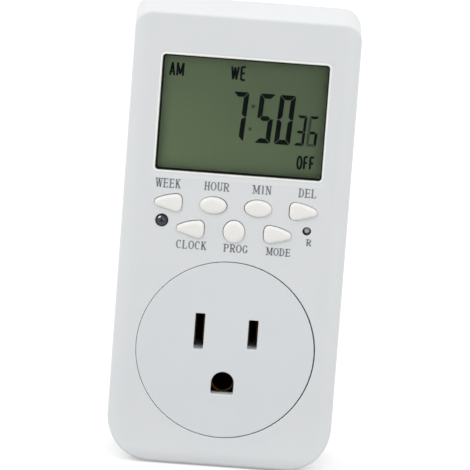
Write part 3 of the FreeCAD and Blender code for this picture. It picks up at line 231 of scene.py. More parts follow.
def dome(rows):
    """Sleeve with both ends closed: a fan to the middle of its last row, and a flat face across its first."""
    spots, groups = sleeve(rows)
    wide = len(rows[0])
    last = np.arange(len(spots) - wide, len(spots))
    fan = np.stack([last, np.roll(last, -1), np.full(wide, len(spots))], 1)
    return np.vstack([spots, spots[last].mean(0)]), groups + [fan, [range(wide)]]


def turned(x, z, profile, count=64):
    """Body of revolution about an axis along Y: a dome over circles, given as radius and depth pairs."""
    return dome([level(ring(x, z, radius, count), 0, y) for radius, y in profile])


def post(x, z, radius, bore, start, end):
    """Tube between two depths: outside wall, then back along the bore."""
    inner = bore - radius
    rows = [(0, start), (0, end), (inner, end), (inner, start), (0, start)]
    return carried(ring(x, z, radius, 40), rows)


def piece(name, parts, body, stuff, planes=(), angle=35, replaces=()):
    """Join surfaces into one closed mesh and put it on a body.

    Open edges in the planes across Y are filled with flat faces, and the rest is smooth up to the angle.
    """
    spots, faces, first = [], [], 0
    for points, groups in parts:
        spots.append(points)
        for group in groups:
            faces += (np.array(group) + first).tolist()
        first += len(points)
    mesh = bpy.data.meshes.new(name)
    mesh.from_pydata((np.vstack(spots) * MM).tolist(), [], faces)
    mesh.shade_smooth()
    form = bmesh.new()
    form.from_mesh(mesh)
    for y in planes:
        edges = [
            edge for edge in form.edges
            if edge.is_boundary and all(abs(vert.co.y / MM - y) < 1e-4 for vert in edge.verts)
        ]
        made = bmesh.ops.triangle_fill(form, edges=edges, use_beauty=True, normal=(0, -1, 0))["geom"]
        for face in made:
            if isinstance(face, bmesh.types.BMFace):
                face.smooth = False
    bmesh.ops.remove_doubles(form, verts=form.verts, dist=1e-7)
    bmesh.ops.recalc_face_normals(form, faces=form.faces)
    form.to_mesh(mesh)
    form.free()
    mesh.set_sharp_from_angle(angle=math.radians(angle))
    mesh.materials.append(stuff)
    made = bpy.data.objects.new(name, mesh)
    bpy.context.scene.collection.objects.link(made)
    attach(made, body)
    if replaces:
        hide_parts(*replaces)


# Materials
def linear(code):
    """sRGB hex value to linear red, green, blue and one."""
    part = np.array([int(code[k:k + 2], 16) / 255 for k in (1, 3, 5)])
    light = np.where(part <= 0.04045, part / 12.92, ((part + 0.055) / 1.055) ** 2.4)
    return (*light.tolist(), 1.0)


def add(tree, kind, feeds=None, **settings):
    """Add a shader node with its settings; feeds gives each input a value or the output that feeds it."""
    made = tree.nodes.new("ShaderNode" + kind)
    for word, value in settings.items():
        setattr(made, word, value)
    for word, value in (feeds or {}).items():
        if isinstance(value, bpy.types.NodeSocket):
            tree.links.new(value, made.inputs[word])
        else:
            made.inputs[word].default_value = value
    return made


def surface(name, dark, pale, rough, grain, bump, patch=9.0, shade=None, **shader):
    """Material whose colour drifts between two tones over patches, with fine grain in its height and gloss.

    dark and pale are hex tones, rough the low and high roughness, grain and patch real sizes in mm,
    bump the height of the grain in mm. shade, a function of the tree and the place, dims the colour with
    painted shade.
    """
    stuff = bpy.data.materials.new(name)
    stuff.use_nodes = True
    tree = stuff.node_tree
    tree.nodes.clear()
    place = add(tree, "TexCoord").outputs["Object"]
    feeds = {"Vector": place, "Scale": 1 / (patch * MM), "Detail": 3.0}
    cloud = add(tree, "TexNoise", feeds).outputs["Fac"]
    feeds = {"Vector": place, "Scale": 1 / (grain * MM), "Detail": 2.0}
    fine = add(tree, "TexNoise", feeds).outputs["Fac"]
    feeds = {"Factor": cloud, "A": linear(dark), "B": linear(pale)}
    tone = add(tree, "Mix", feeds, data_type="RGBA").outputs["Result"]
    feeds = {"Value": fine, "To Min": rough[0], "To Max": rough[1]}
    gloss = add(tree, "MapRange", feeds).outputs["Result"]
    feeds = {"Height": fine, "Distance": bump * MM, "Strength": 1.0}
    relief = add(tree, "Bump", feeds).outputs["Normal"]
    if shade:
        feeds = {"Factor": 1.0, "A": tone, "B": shade(tree, place)}
        tone = add(tree, "Mix", feeds, data_type="RGBA", blend_type="MULTIPLY").outputs["Result"]
    feeds = {"Base Color": tone, "Roughness": gloss, "Normal": relief}
    feeds.update({word.replace("_", " "): value for word, value in shader.items()})
    skin = add(tree, "BsdfPrincipled", feeds)
    add(tree, "OutputMaterial", {"Surface": skin.outputs["BSDF"]})
    return stuff


# Falls of the display glass's colour over its reflector foil: darker to the right and upwards, and painted
# shade close to the left and lower edges, where the window's edges would shade it: axis, start and end in mm,
# and the share of colour at either
GLASS_FALLS_AND_PAINTED_SHADE = (
    ("X", -19.3, 19.3, 1.04, 0.78),
    ("X", -19.3, -17.9, 0.72, 1.0),
    ("Z", 38.2, 39.4, 0.86, 1.0),
    ("Z", 38.0, 60.0, 1.2, 1.0),
)


def glass_painted_shade(tree, place):
    """Colour share of the display glass, with painted shade near its left and lower edges: the product of its
    falls.
    """
    along = add(tree, "SeparateXYZ", {"Vector": place}).outputs
    share = 1.0
    for axis, start, end, low, high in GLASS_FALLS_AND_PAINTED_SHADE:
        feeds = {"Value": along[axis], "From Min": start * MM, "From Max": end * MM}
        feeds.update({"To Min": low, "To Max": high})
        fall = add(tree, "MapRange", feeds).outputs["Result"]
        share = add(tree, "Math", {0: fall, 1: share}, operation="MULTIPLY").outputs[0]
    return share


# Middle of the clear patch on the reset tip in mm, a little right of and above its axis, and where the
# painted shade round it starts and is full
TIP_MIDDLE = (PILOT_X + 0.06, 0.0, RESET_Z + 0.21)
TIP_EDGE = (0.6, 0.7)


def tip_painted_shade(tree, place):
    """Painted shade round the reset tip, off its axis so that it is widest at the lower left: full brightness
    near its middle, next to none past the tip's edge.
    """
    feeds = {0: place, 1: [reach * MM for reach in TIP_MIDDLE]}
    away = add(tree, "VectorMath", feeds, operation="SUBTRACT").outputs[0]
    away = add(tree, "VectorMath", {0: away, 1: (1, 0, 1)}, operation="MULTIPLY").outputs[0]
    away = add(tree, "VectorMath", {0: away}, operation="LENGTH").outputs["Value"]
    start, end = TIP_EDGE
    feeds = {"Value": away, "From Min": start * MM, "From Max": end * MM, "To Min": 1.0, "To Max": 0.03}
    return add(tree, "MapRange", feeds).outputs["Result"]


ACRYLIC = 1.49

# White ABS, injection moulded in a lightly sparked tool: satin. The real grain is finer, and is drawn at
# about 0.2 mm so that it shows.
case_abs = surface("case_abs", "#dfe2e5", "#e3e5e7", (0.38, 0.46), 0.22, 0.004)
# Socket insert: the same resin from a polished tool, a touch cooler and smoother than the case
socket_abs = surface("socket_abs", "#dde1e4", "#e1e5e8", (0.32, 0.38), 0.3, 0.002)
# Keys: warmer white ABS from a polished tool, so that their round edges catch soft light
key_abs = surface("key_abs", "#f1f0ed", "#f4f3f0", (0.24, 0.32), 0.3, 0.002)
# Reset plunger: grey ABS straight from a coarse tool, speckled, with painted shade round its tip
plunger_abs = surface("plunger_abs", "#979b9e", "#babdc0", (0.45, 0.6), 0.12, 0.03, 0.4, tip_painted_shade)
# Bead of the window: ABS moulded against a polished edge of the tool, coloured whiter than the case as a
# painted highlight
bead_painted_highlight = surface("bead_painted_highlight", "#f9f9f5", "#fcfcf9", (0.2, 0.28), 0.3, 0.001)
# Black ink, screen-printed on the window: matt, so that next to no light shows on it
line_ink = surface("line_ink", "#040607", "#08090b", (0.5, 0.6), 0.2, 0.001, Specular_IOR_Level=0.15)
# Clear acrylic, moulded and polished on both sides: it bends the view and mirrors a little
lens_acrylic = surface(
    "lens_acrylic", "#fbfcfa", "#ffffff", (0.02, 0.03), 0.8, 0.0, Transmission_Weight=1.0, IOR=ACRYLIC
)
# Display glass over a rolled reflector foil: olive green, softly mottled, brighter to the left and the foot,
# with painted shade along its left and lower edges
lcd_glass = surface(
    "lcd_glass", "#748767", "#7d8f6e", (0.4, 0.46), 0.5, 0.001, 14.0, glass_painted_shade, Specular_IOR_Level=0.3
)
# Driven liquid crystal between polished glasses: near black with a blue cast, and no gloss of its own
lcd_ink = surface("lcd_ink", "#010c0c", "#030f10", (0.5, 0.6), 0.5, 0.0, Specular_IOR_Level=0.1)
# The same crystal half driven, between two readings: only a little darker than the glass
lcd_ghost = surface("lcd_ghost", "#4b5742", "#505e48", (0.4, 0.5), 0.5, 0.0, Specular_IOR_Level=0.2)
# Grey ink, pad-printed: thin and matt, softer than black
label_ink = surface("label_ink", "#7d8185", "#878b8f", (0.5, 0.6), 0.1, 0.001)
# Smoky epoxy, cast in a polished mould: near black and glossy, so that a lamp shows in it as a sharp streak
pilot_epoxy = surface("pilot_epoxy", "#13151e", "#1c1f2a", (0.05, 0.09), 0.6, 0.0, Specular_IOR_Level=0.64)
# Brass of the contacts, stamped: a dark dull brown that paints in the shade deep in the slots, with lighter
# rubbed places
contact_brass = surface("contact_brass", "#3c2b15", "#594121", (0.4, 0.55), 0.12, 0.002, 2.0, Metallic=1.0)
# Brass of the plug, stamped and nickel-plated: warm silver with a soft mirror shine
plug_nickel = surface("plug_nickel", "#c3beb2", "#d0ccc2", (0.2, 0.3), 0.15, 0.002, Metallic=1.0)
# Steel, rolled or stamped and zinc-plated: cool grey with an uneven shine
screw_steel = surface("screw_steel", "#a9adb0", "#bfc3c6", (0.28, 0.4), 0.12, 0.003, Metallic=1.0)
# Glass-filled nylon of the contact carrier, moulded undyed: pale and dull, so the slots fade into the dark
carrier_nylon = surface("carrier_nylon", "#a0a3a6", "#adb0b3", (0.5, 0.6), 0.15, 0.01)
# Glass-fibre laminate under sprayed green solder mask: deep green, with a soft gloss
board_laminate = surface("board_laminate", "#1f5a3a", "#2a6b47", (0.3, 0.4), 0.4, 0.004)
# Carbon-loaded silicone, sliced from a layered block: dark grey and matt, with fine lighter flecks
zebra_silicone = surface("zebra_silicone", "#3a3c40", "#55585c", (0.6, 0.7), 0.2, 0.01, 0.3)
# Phenolic and nylon of the small parts, moulded black: dark, with a dull gloss
small_nylon = surface("small_nylon", "#191b1e", "#222529", (0.4, 0.5), 0.2, 0.005)
# White polystyrene of the display holder, moulded: greyer than the case, and matt
holder_styrene = surface("holder_styrene", "#c9cdd0", "#d4d7da", (0.45, 0.55), 0.2, 0.004)
# Polyester of the relay cover, moulded blue: an even colour with a soft gloss
relay_plastic = surface("relay_plastic", "#1c4c9c", "#2458ad", (0.3, 0.4), 0.25, 0.003)
# Enamelled copper wire, wound: reddish brown, glossy, and rough from its turns
coil_enamel = surface("coil_enamel", "#9c3d1e", "#b04a26", (0.3, 0.4), 0.12, 0.02)
# Film capacitor, dipped in epoxy: yellow, smooth and a little glossy
film_epoxy = surface("film_epoxy", "#c8961e", "#d6a62c", (0.35, 0.45), 0.3, 0.004)
# Vinyl sleeve of the smoothing capacitor, shrunk on: black, smooth and glossy
sleeve_vinyl = surface("sleeve_vinyl", "#15171a", "#1d2024", (0.3, 0.38), 0.4, 0.002)
# Resistors, dipped in lacquer: tan, with a faintly uneven skin
resistor_lacquer = surface("resistor_lacquer", "#b99b74", "#c6a981", (0.4, 0.5), 0.2, 0.006)
# Varistor, dipped in epoxy: blue, with a faintly uneven skin
varistor_epoxy = surface("varistor_epoxy", "#1f5f96", "#2a6ea8", (0.35, 0.45), 0.25, 0.006)
# Vinyl sleeve of the cell stack, shrunk on: green, smooth and glossy
cell_sleeve = surface("cell_sleeve", "#2c7a4a", "#378a57", (0.3, 0.38), 0.4, 0.002)

# CAD nodes that stay, by material
KEPT = {
    contact_brass: [
        "line_contact", "neutral_contact", "ground_contact", "line_strap", "neutral_strap",
        "relay_moving_contact", "relay_fixed_contact", "blade_rivets",
    ],
    plug_nickel: ["line_blade", "neutral_blade", "ground_pin", "battery_tabs", "header_pins"],
    screw_steel: [
        "carrier_screws", "board_screws", "power_screws", "switch_domes", "clock_crystal", "relay_core",
        "relay_yoke", "relay_armature",
    ],
    carrier_nylon: ["contact_carrier"],
    board_laminate: ["control_board", "power_board"],
    zebra_silicone: ["zebra_strips"],
    small_nylon: [
        "controller_chip", "key_switches", "rectifier_diodes", "relay_transistor", "board_header",
        "relay_base",
    ],
    holder_styrene: ["lcd_holder"],
    lcd_glass: ["lcd_panel"],
    relay_plastic: ["relay_case"],
    coil_enamel: ["relay_coil"],
    film_epoxy: ["dropper_capacitor"],
    sleeve_vinyl: ["smoothing_capacitor"],
    resistor_lacquer: ["resistors"],
    varistor_epoxy: ["varistor"],
    cell_sleeve: ["backup_battery"],
}
for stuff, names in KEPT.items():
    for name in names:
        NODES[name].data.materials.clear()
        NODES[name].data.materials.append(stuff)

# Metal that shows: its loose triangles are joined and its edges broken, as tumbling leaves them
TUMBLED = 0.12
METAL = ("line_blade", "neutral_blade", "ground_pin", "line_contact", "neutral_contact", "ground_contact")
for name in METAL:
    node = NODES[name]
    node.data.shade_smooth()
    weld = node.modifiers.new("join", "WELD")
    weld.merge_threshold = 1e-6
    edge = node.modifiers.new("edge", "BEVEL")
    edge.width = TUMBLED * MM
    edge.segments = 2
    edge.limit_method = "ANGLE"
    edge.angle_limit = math.radians(40)
    edge.harden_normals = True


# Shells
# Screws of the case and of the control board, in mm out from the middle and up
CASE_SCREWS = ((21.2, 70.0), (18.6, -23.8))
BOARD_SCREWS = ((13.0, 69.4), (21.8, 22.4))
# Half of the parting groove: how far in from the outline, and how far from the parting plane
GROOVE = ((0.3, 0.0), (0.3, 0.1), (0.06, 0.12), (0.0, 0.2))
# Posts as radius and bore, then radius and lip of the holes for the indicator and the reset tip, and gap
# and lip round the insert, which lies a little to the left in its hole
CASE_POST = (2.7, 1.45)
BOARD_POST = (2.15, 0.9)
LAMP_HOLE, LAMP_LIP = 1.53, 0.22
RESET_HOLE, RESET_LIP = 1.03, 0.1
DISC_GAP, DISC_LIP, DISC_SHIFT = 0.21, 0.12, 0.1
# Rounding at the rear: how far it takes the outline in, and how deep it starts
REAR_ROUND = (2.8, 3.0)
# Screw well: radius and floor, and radii of the tube that stands round it inside, less that radius
WELL = 2.6
WELL_FLOOR = -3.0
WELL_BORE, WELL_TUBE = -1.05, 0.5
# Exits of the plug: place and half height of a blade's, half its width, and radius of the pin's
EXITS = ((BLADE_X, 3.275), (-BLADE_X, 4.05))
EXIT_HALF = 0.86
PIN_EXIT = 3.0
# Slots of the socket in the same way, and the circles that its ground hole is a belt round
SLOTS = ((BLADE_X, 3.5), (-BLADE_X, 4.3))
SLOT_HALF = 1.15
GROUND_HOLE = ((0, -12.1, 2.7), (-2.3, -14.4, 0.4), (2.3, -14.4, 0.4))

# Key, outline, and how far the loose key lies off its switch's axis, across and up
KEYS = (
    ("week", "left drop", -0.02, -0.08),
    ("hour", "oval", -0.08, -0.04),
    ("minute", "oval", 0.06, -0.04),
    ("delete", "right drop", 0.08, -0.03),
    ("clock", "left drop", -0.03, -0.08),
    ("program", "round", 0.03, -0.08),
    ("mode", "right drop", 0.05, -0.07),
)
KEY_GAP, KEY_LIP = 0.1, 0.06


def key_place(name):
    """Axis of a key's switch, across and up: the middle of its solid."""
    return at("button_" + name, "X", 0), at("button_" + name, "Z", 0)


def face_depth(x, z):
    """Depth of the face: flat, with a fall at both sides and at the bottom.

    A fall is R - (R^2 - s^2)^0.5 at s past its start, and two falls a and b blend as (a^4 + b^4)^(1 / 4).
    """
    side = np.clip(np.abs(x) - (HALF_WIDTH - SIDE_CROWN), 0, CROWN - 0.5)
    low = np.clip(BOTTOM + LOW_CROWN - z, 0, CROWN - 0.5)
    fall_side, fall_low = (CROWN - np.sqrt(CROWN ** 2 - past ** 2) for past in (side, low))
    return FACE + (fall_side ** 4 + fall_low ** 4) ** 0.25


def opening(outline, lip, back=FACE_IN, face=FACE, sense=1, margin=0.12):
    """Wall of a hole through a plate: a flat margin, a quarter round of size lip, then straight back."""
    rows = [(lip + margin, face)]
    for turn in np.linspace(0, math.pi / 2, 6):
        rows.append((lip * (1 - math.sin(turn)), face + sense * lip * (1 - math.cos(turn))))
    rows.append((0.0, back))
    return carried(outline, rows)


# Window opening, the bead round it, which is painted brighter, and the shallow dish that the bead stands in
BEAD = 0.45
DISH = 0.13
WINDOW = rounded_box(-19.7, 19.7, 37.85, 65.4, 0.8)
RECESS = rounded_box(-20.6, 21.2, 36.35, 66.15, 1.3)


def front_shell():
    """Rows of the outline, carried round the shell, with its openings and posts.

    They run from the inside of the face round the parting edge, up the drafted wall and over the crown.
    """
    outline = case_outline()

    def over(inset, lift):
        row = case_outline(inset)
        return level(row, 0, face_depth(*row[0].T) + lift)

    draft_in = DRAFT * (SPLIT - FACE_IN)
    draft_out = DRAFT * (SPLIT - FACE - EDGE_ROUND)
    rows = [level(case_outline(5.5), 0, FACE_IN), level(outline, -WALL - draft_in, FACE_IN)]
    rows += [level(outline, -inset, SPLIT - away) for inset, away in ((WALL, 0.0), *GROOVE)]
    for turn in np.linspace(0, math.pi / 2, 9):
        rows.append(over(draft_out + EDGE_ROUND * (1 - math.cos(turn)), EDGE_ROUND * (1 - math.sin(turn))))
    rows += [over(inset, 0) for inset in np.linspace(1.1, 5.2, 14)]
    parts = [sleeve(rows)]
    rows = [level(RECESS, grow, y) for grow, y in ((0.15, FACE), (0.04, FACE), (-0.04, FACE + 0.015))]
    dish = ((BEAD, FACE + DISH), (0.05, FACE + DISH), (0.0, FACE + 0.5), (0.0, FACE_IN))
    rows += [level(WINDOW, grow, y) for grow, y in dish]
    parts.append(sleeve(rows))
    parts.append(opening(ring(DISC_SHIFT, DISC_Z, DISC + DISC_GAP, 192), DISC_LIP))
    parts.append(opening(ring(-PILOT_X, PILOT_Z, LAMP_HOLE, 64), LAMP_LIP))
    parts.append(opening(ring(PILOT_X, RESET_Z, RESET_HOLE, 48), RESET_LIP))
    for name, kind, across, up in KEYS:
        spot, out = key_outline(kind, *key_place(name))
        parts.append(opening((spot + KEY_GAP * out, out), KEY_LIP))
    root = FACE_IN - 0.3
    for side in (-1, 1):
        parts += [post(side * x, z, *CASE_POST, root, SPLIT) for x, z in CASE_SCREWS]
        parts += [post(side * x, z, *BOARD_POST, root, BOARD_FRONT) for x, z in BOARD_SCREWS]
    planes = (FACE, FACE_IN)
    piece("front_shell", parts, "case", case_abs, planes, replaces=["front_cover"])


front_shell()


def rear_shell():
    """Rows of the outline, carried round the rear shell, with the plug's exits and the screw wells.

    They run from the floor round the parting edge and over the rear rounding, a quarter of an ellipse.
    """
    rows = [(-WALL - 0.1, FLOOR), (-WALL, FLOOR), (-WALL, SPLIT)]
    rows += [(-inset, SPLIT + away) for inset, away in GROOVE]
    wide, deep = REAR_ROUND
    for turn in np.linspace(0, math.pi / 2, 12):
        rows.append((wide * (math.cos(turn) - 1), deep * (math.sin(turn) - 1)))
    parts = [carried(case_outline(), rows)]
    exits = [rounded_box(x - EXIT_HALF, x + EXIT_HALF, -up, up, 0.2, 6, 4) for x, up in EXITS]
    exits.append(ring(0, GROUND_Z, PIN_EXIT, 64))
    parts += [opening(hole, 0.1, FLOOR, 0.0, -1) for hole in exits]
    rows = [(0.1, 0.0), (0.03, -0.03), (0.0, -0.1), (0.0, WELL_FLOOR), (WELL_BORE, WELL_FLOOR)]
    rows += [(WELL_BORE, SPLIT), (WELL_TUBE, SPLIT), (WELL_TUBE, FLOOR)]
    for x, z in CASE_SCREWS:
        parts += [carried(ring(side * x, z, WELL, 48), rows) for side in (-1, 1)]
    planes = (0.0, FLOOR)
    piece("rear_shell", parts, "case", case_abs, planes, replaces=["rear_cover"])


rear_shell()


def socket_insert():
    """Flush disc with a broken edge, a flange behind the face, two slots and the ground hole."""
    rows = [(-0.25, FACE), (-0.12, FACE), (-0.07, FACE + 0.01), (-0.03, FACE + 0.04), (0.0, FACE + 0.12)]
    rows += [(0.0, FACE_IN), (1.3, FACE_IN), (1.3, INSERT_BACK), (-0.4, INSERT_BACK)]
    parts = [carried(ring(0, DISC_Z, DISC, 192), rows)]
    slots = [rounded_box(x - SLOT_HALF, x + SLOT_HALF, -up, up, 0.25, 6, 6) for x, up in SLOTS]
    slots.append(belt(GROUND_HOLE, 20, 6))
    parts += [opening(slot, 0.25, INSERT_BACK) for slot in slots]
    posts_end = at("socket_face", "Y", 1)
    parts += [post(side * 16.0, DISC_Z, 2.3, 1.0, INSERT_BACK - 0.3, posts_end) for side in (-1, 1)]
    planes = (FACE, INSERT_BACK)
    piece("socket_insert", parts, "case", socket_abs, planes, replaces=["socket_face"])


socket_insert()


# Keys
# A cap's round edge starts just above the face, and a flange behind the face keeps it in
CAP_EDGE = FACE - 0.02
FLANGE_FRONT = FACE_IN + 0.1
FLANGE_BACK = FLANGE_FRONT + 0.8
FLANGE_RIM = 0.5
STEM_RADIUS = 1.5


def key_cap(name, kind, across, up):
    """Cap carried up its outline and over a round edge, on a stem that keeps the switch's axis.

    Its height follows (1 - r^5)^(1 / 2.2) out from its middle, which stands across and up off the axis.
    """
    x, z = key_place(name)
    middle = np.array([x + across, z + up])
    spots, outs = key_outline(kind, *middle)
    stem = ring(x, z, STEM_RADIUS, len(spots))
    rows = [level(stem, 0, y) for y in (STEM_END, FLANGE_BACK)]
    sides = ((FLANGE_RIM, FLANGE_BACK), (FLANGE_RIM, FLANGE_FRONT), (0.0, FLANGE_FRONT), (0.0, CAP_EDGE))
    rows += [level((spots, outs), grow, y) for grow, y in sides]
    for reach in np.sin(np.linspace(math.pi / 2, 0.06, 22)):
        y = CAP_EDGE - (CAP_EDGE - CAP_TOP) * (1 - reach ** 5) ** (1 / 2.2)
        rows.append(level((middle + (spots - middle) * reach, outs), 0, y))
    body, nodes = name + "_key", ["button_" + name]
    piece("key_" + name, [dome(rows)], body, key_abs, replaces=nodes)


for key in KEYS:
    key_cap(*key)

# Reset plunger, below the face in its own hole: radius of its flange, and its sleeve and tip as radius and
# height over the flange
RESET_RIM = STEM_RADIUS + 0.05
TIP = ((0.95, 0.0), (0.95, 1.25), (0.91, 1.32), (0.7, 1.34), (0.66, 1.4), (0.62, 1.6), (0.55, 1.7))
TIP += ((0.44, 1.76), (0.3, 1.79), (0.15, 1.8))


def reset_button():
    """Stem and flange on the switch's axis, with the tip a little lower, as in the photo."""
    stem = ((STEM_RADIUS, STEM_END), (STEM_RADIUS, FLANGE_BACK))
    flange = ((RESET_RIM, FLANGE_BACK), (RESET_RIM, FLANGE_FRONT))
    rows = [level(ring(PILOT_X, PILOT_Z, radius, 48), 0, y) for radius, y in stem + flange]
    rows += [level(ring(PILOT_X, RESET_Z, radius, 48), 0, FLANGE_FRONT - lift) for radius, lift in TIP]
    nodes = ["reset_plunger"]
    piece("reset_button", [dome(rows)], "reset_key", plunger_abs, replaces=nodes)


reset_button()

# Indicator: radii of its barrel and its rim, depths where its half-round end starts and its back lies, and
# its leads as their distance off its axis and their radius
BARREL = 1.48
BARREL_RIM = 1.88
BARREL_ROUND = -33.12
BARREL_BACK = -29.8
LEAD = (0.8, 0.25)


def indicator_lamp():
    """Barrel with a rim at its back and a half-round end, and two leads."""
    rim = BARREL_BACK - 1.0
    lamp = [(0.8, BARREL_BACK), (BARREL_RIM, BARREL_BACK), (BARREL_RIM, rim), (BARREL, rim)]
    for turn in np.linspace(0, math.pi / 2, 14)[:-1]:
        lamp.append((BARREL * math.cos(turn), BARREL_ROUND - BARREL * math.sin(turn)))
    away, radius = LEAD
    leads_end = at("indicator_led", "Y", 1)
    lead = [(radius, leads_end), (radius, BARREL_BACK - 0.1)]
    parts = [turned(-PILOT_X, PILOT_Z, lamp)]
    parts += [turned(-PILOT_X + side * away, PILOT_Z, lead, 12) for side in (-1, 1)]
    piece("indicator_lamp", parts, "case", pilot_epoxy, replaces=["indicator_led"])


indicator_lamp()


# Window
def window_bead():
    """Half-round bead: its height follows (1 - s^2)^0.5 across its width."""
    rows = [(BEAD, FACE + 0.3)]
    for turn in np.linspace(0, math.pi, 9):
        rows.append((BEAD / 2 * (1 + math.cos(turn)), FACE + DISH * (1 - math.sin(turn))))
    rows += [(0.0, FACE + 0.3), (BEAD, FACE + 0.3)]
    parts = [carried(WINDOW, rows)]
    piece("window_bead", parts, "case", bead_painted_highlight, angle=60)


window_bead()

# Outlines of the clear plate and of the clear field inside its printed line, which is wider at the left and
# at the bottom, and half the thickness of the ink
LENS = rounded_box(-19.6, 19.6, 37.95, 65.3, 0.7)
PRINT = rounded_box(-19.16, 19.34, 38.52, 65.02, 0.5)
INK = 0.02


def window_lens():
    """Clear plate with a broken edge and a flange behind the face."""
    rows = [(-0.3, LENS_FRONT), (-0.15, LENS_FRONT), (-0.05, LENS_FRONT + 0.02), (0.0, LENS_FRONT + 0.1)]
    rows += [(0.0, FACE_IN), (1.0, FACE_IN), (1.0, LENS_BACK)]
    parts = [carried(LENS, rows)]
    planes, nodes = (LENS_FRONT, LENS_BACK), ["display_window"]
    piece("window_lens", parts, "case", lens_acrylic, planes, replaces=nodes)


def window_line():
    """Flat frame of ink from the plate's edge to the clear field."""
    corners = ((LENS, -0.06, INK), (LENS, -0.06, -INK), (PRINT, 0, -INK), (PRINT, 0, INK), (LENS, -0.06, INK))
    parts = [sleeve([level(outline, grow, LENS_FRONT + lift) for outline, grow, lift in corners])]
    piece("window_line", parts, "case", line_ink)


window_lens()
window_line()


# Display
# Depth of the display glass behind the face as the eye has it: the clear plate looks thinner by its index
GLASS_DEEP = LENS_FRONT - FACE + (LENS_BACK - LENS_FRONT) / ACRYLIC + GLASS_Y - LENS_BACK
# Thickness of the driven crystal, drawn as thin plates on the glass
CRYSTAL = 0.02


def seen(x, z):
    """Where the camera's ray through a place on the face meets the display glass.

    It moves the place away from the camera's by the glass's apparent depth over the camera's distance.
    """
    share = GLASS_DEEP / (FACE - CAMERA_AT[1])
    return x + (x - CAMERA_AT[0]) * share, z + (z - CAMERA_AT[2]) * share


def bar(corners):
    """Thin plate with the given corners, on the display glass."""
    flat = np.array(corners)
    spots, groups = sleeve([level((flat, flat), 0, y) for y in (GLASS_Y, GLASS_Y - CRYSTAL)])
    count = len(flat)
    return spots, groups + [[range(count), range(count, 2 * count)]]


def segment(letter, left, low, wide, tall, waist, stroke, blunt, gap, slant):
    """Corners of one bar of a seven-bar digit, a to g clockwise from the top, mitred and sheared by slant."""
    mid, bend = stroke / 2, blunt / 2

    def side(reach):
        return np.array([
            (wide, gap), (wide, reach - gap - blunt), (wide - bend, reach - gap - bend),
            (wide - stroke, reach - gap - stroke), (wide - stroke, gap + mid), (wide - mid, gap),
        ])

    top = np.array([
        (gap + blunt, 0), (wide - gap - blunt, 0), (wide - gap - bend, -bend),
        (wide - gap - stroke, -stroke), (gap + stroke, -stroke), (gap + bend, -bend),
    ])
    half = np.array([(mid + gap, 0), (stroke + gap, mid), (wide - stroke - gap, mid), (wide - mid - gap, 0)])
    down, back = np.array([1, -1]), np.array([-1, 1])
    shapes = {
        "a": top + (0, tall),
        "b": side(tall - waist) + (0, waist),
        "c": side(waist) * down + (0, waist),
        "d": top * down,
        "e": side(waist) * -1 + (wide, waist),
        "f": side(tall - waist) * back + (wide, waist),
        "g": np.vstack([half, (half * down)[2:0:-1]]) + (0, waist),
    }
    across, up = shapes[letter].T
    return np.stack(seen(left + across + slant * up, low + up), 1)


# Bars of the digits that show, sizes of the two sets of digits in mm, and where each digit starts
BARS = {"0": "abcdef", "3": "abcdg", "5": "acdfg", "7": "abc"}
BIG = {
    "low": 45.95, "wide": 3.75, "tall": 11.75, "waist": 5.87,
    "stroke": 1.15, "blunt": 0.25, "gap": 0.09, "slant": 0.06,
}
SMALL = {
    "low": 46.0, "wide": 2.4, "tall": 7.2, "waist": 3.24,
    "stroke": 0.64, "blunt": 0.15, "gap": 0.07, "slant": 0.06,
}
BIG_DIGITS = (("7", -3.22), ("5", 3.1), ("0", 7.8))
SMALL_DIGIT = ("3", 12.42)
# The last digit is a 6 that is just coming up: three of its bars are driven, three only half
LAST_DRIVEN, LAST_HALF, LAST_LEFT = "acg", "def", 15.3
# Dots of the colon
DOTS = ((2.35, 54.5), (1.98, 49.1))
DOT_RADIUS = 0.45


def display_digits():
    """Seven-bar digits for 7:50 and the small seconds, with the colon and three bars only half driven."""
    parts = []
    for digit, left in BIG_DIGITS:
        parts += [bar(segment(letter, left, **BIG)) for letter in BARS[digit]]
    digit, left = SMALL_DIGIT
    parts += [bar(segment(letter, left, **SMALL)) for letter in BARS[digit]]
    parts += [bar(segment(letter, LAST_LEFT, **SMALL)) for letter in LAST_DRIVEN]
    piece("display_digits", parts, "case", lcd_ink)
    parts = [bar(segment(letter, LAST_LEFT, **SMALL)) for letter in LAST_HALF]
    parts += [bar(ring(*seen(x, z), DOT_RADIUS, 32)[0]) for x, z in DOTS]
    piece("display_ghosts", parts, "case", lcd_ghost)


display_digits()


# Letters, drawn with a broad pen in a cell one wide and one high: thick down strokes, thin cross strokes
THICK, THIN = 1.0, 0.55


def line(x0, z0, x1, z1, weight=THIN):
    """Straight stroke: its two ends and its weight."""
    return np.array([(x0, z0), (x1, z1)]), np.full(2, weight)


def bow(x, z, half_x, half_z, start=0, end=360):
    """Round stroke: an arc of an ellipse, thick at its sides and thin at its top and foot, by cos^2 t."""
    turn = np.radians(np.linspace(start, end, 25))
    path = np.stack([x + half_x * np.cos(turn), z + half_z * np.sin(turn)], 1)
    return path, THIN + (THICK - THIN) * np.cos(turn) ** 2


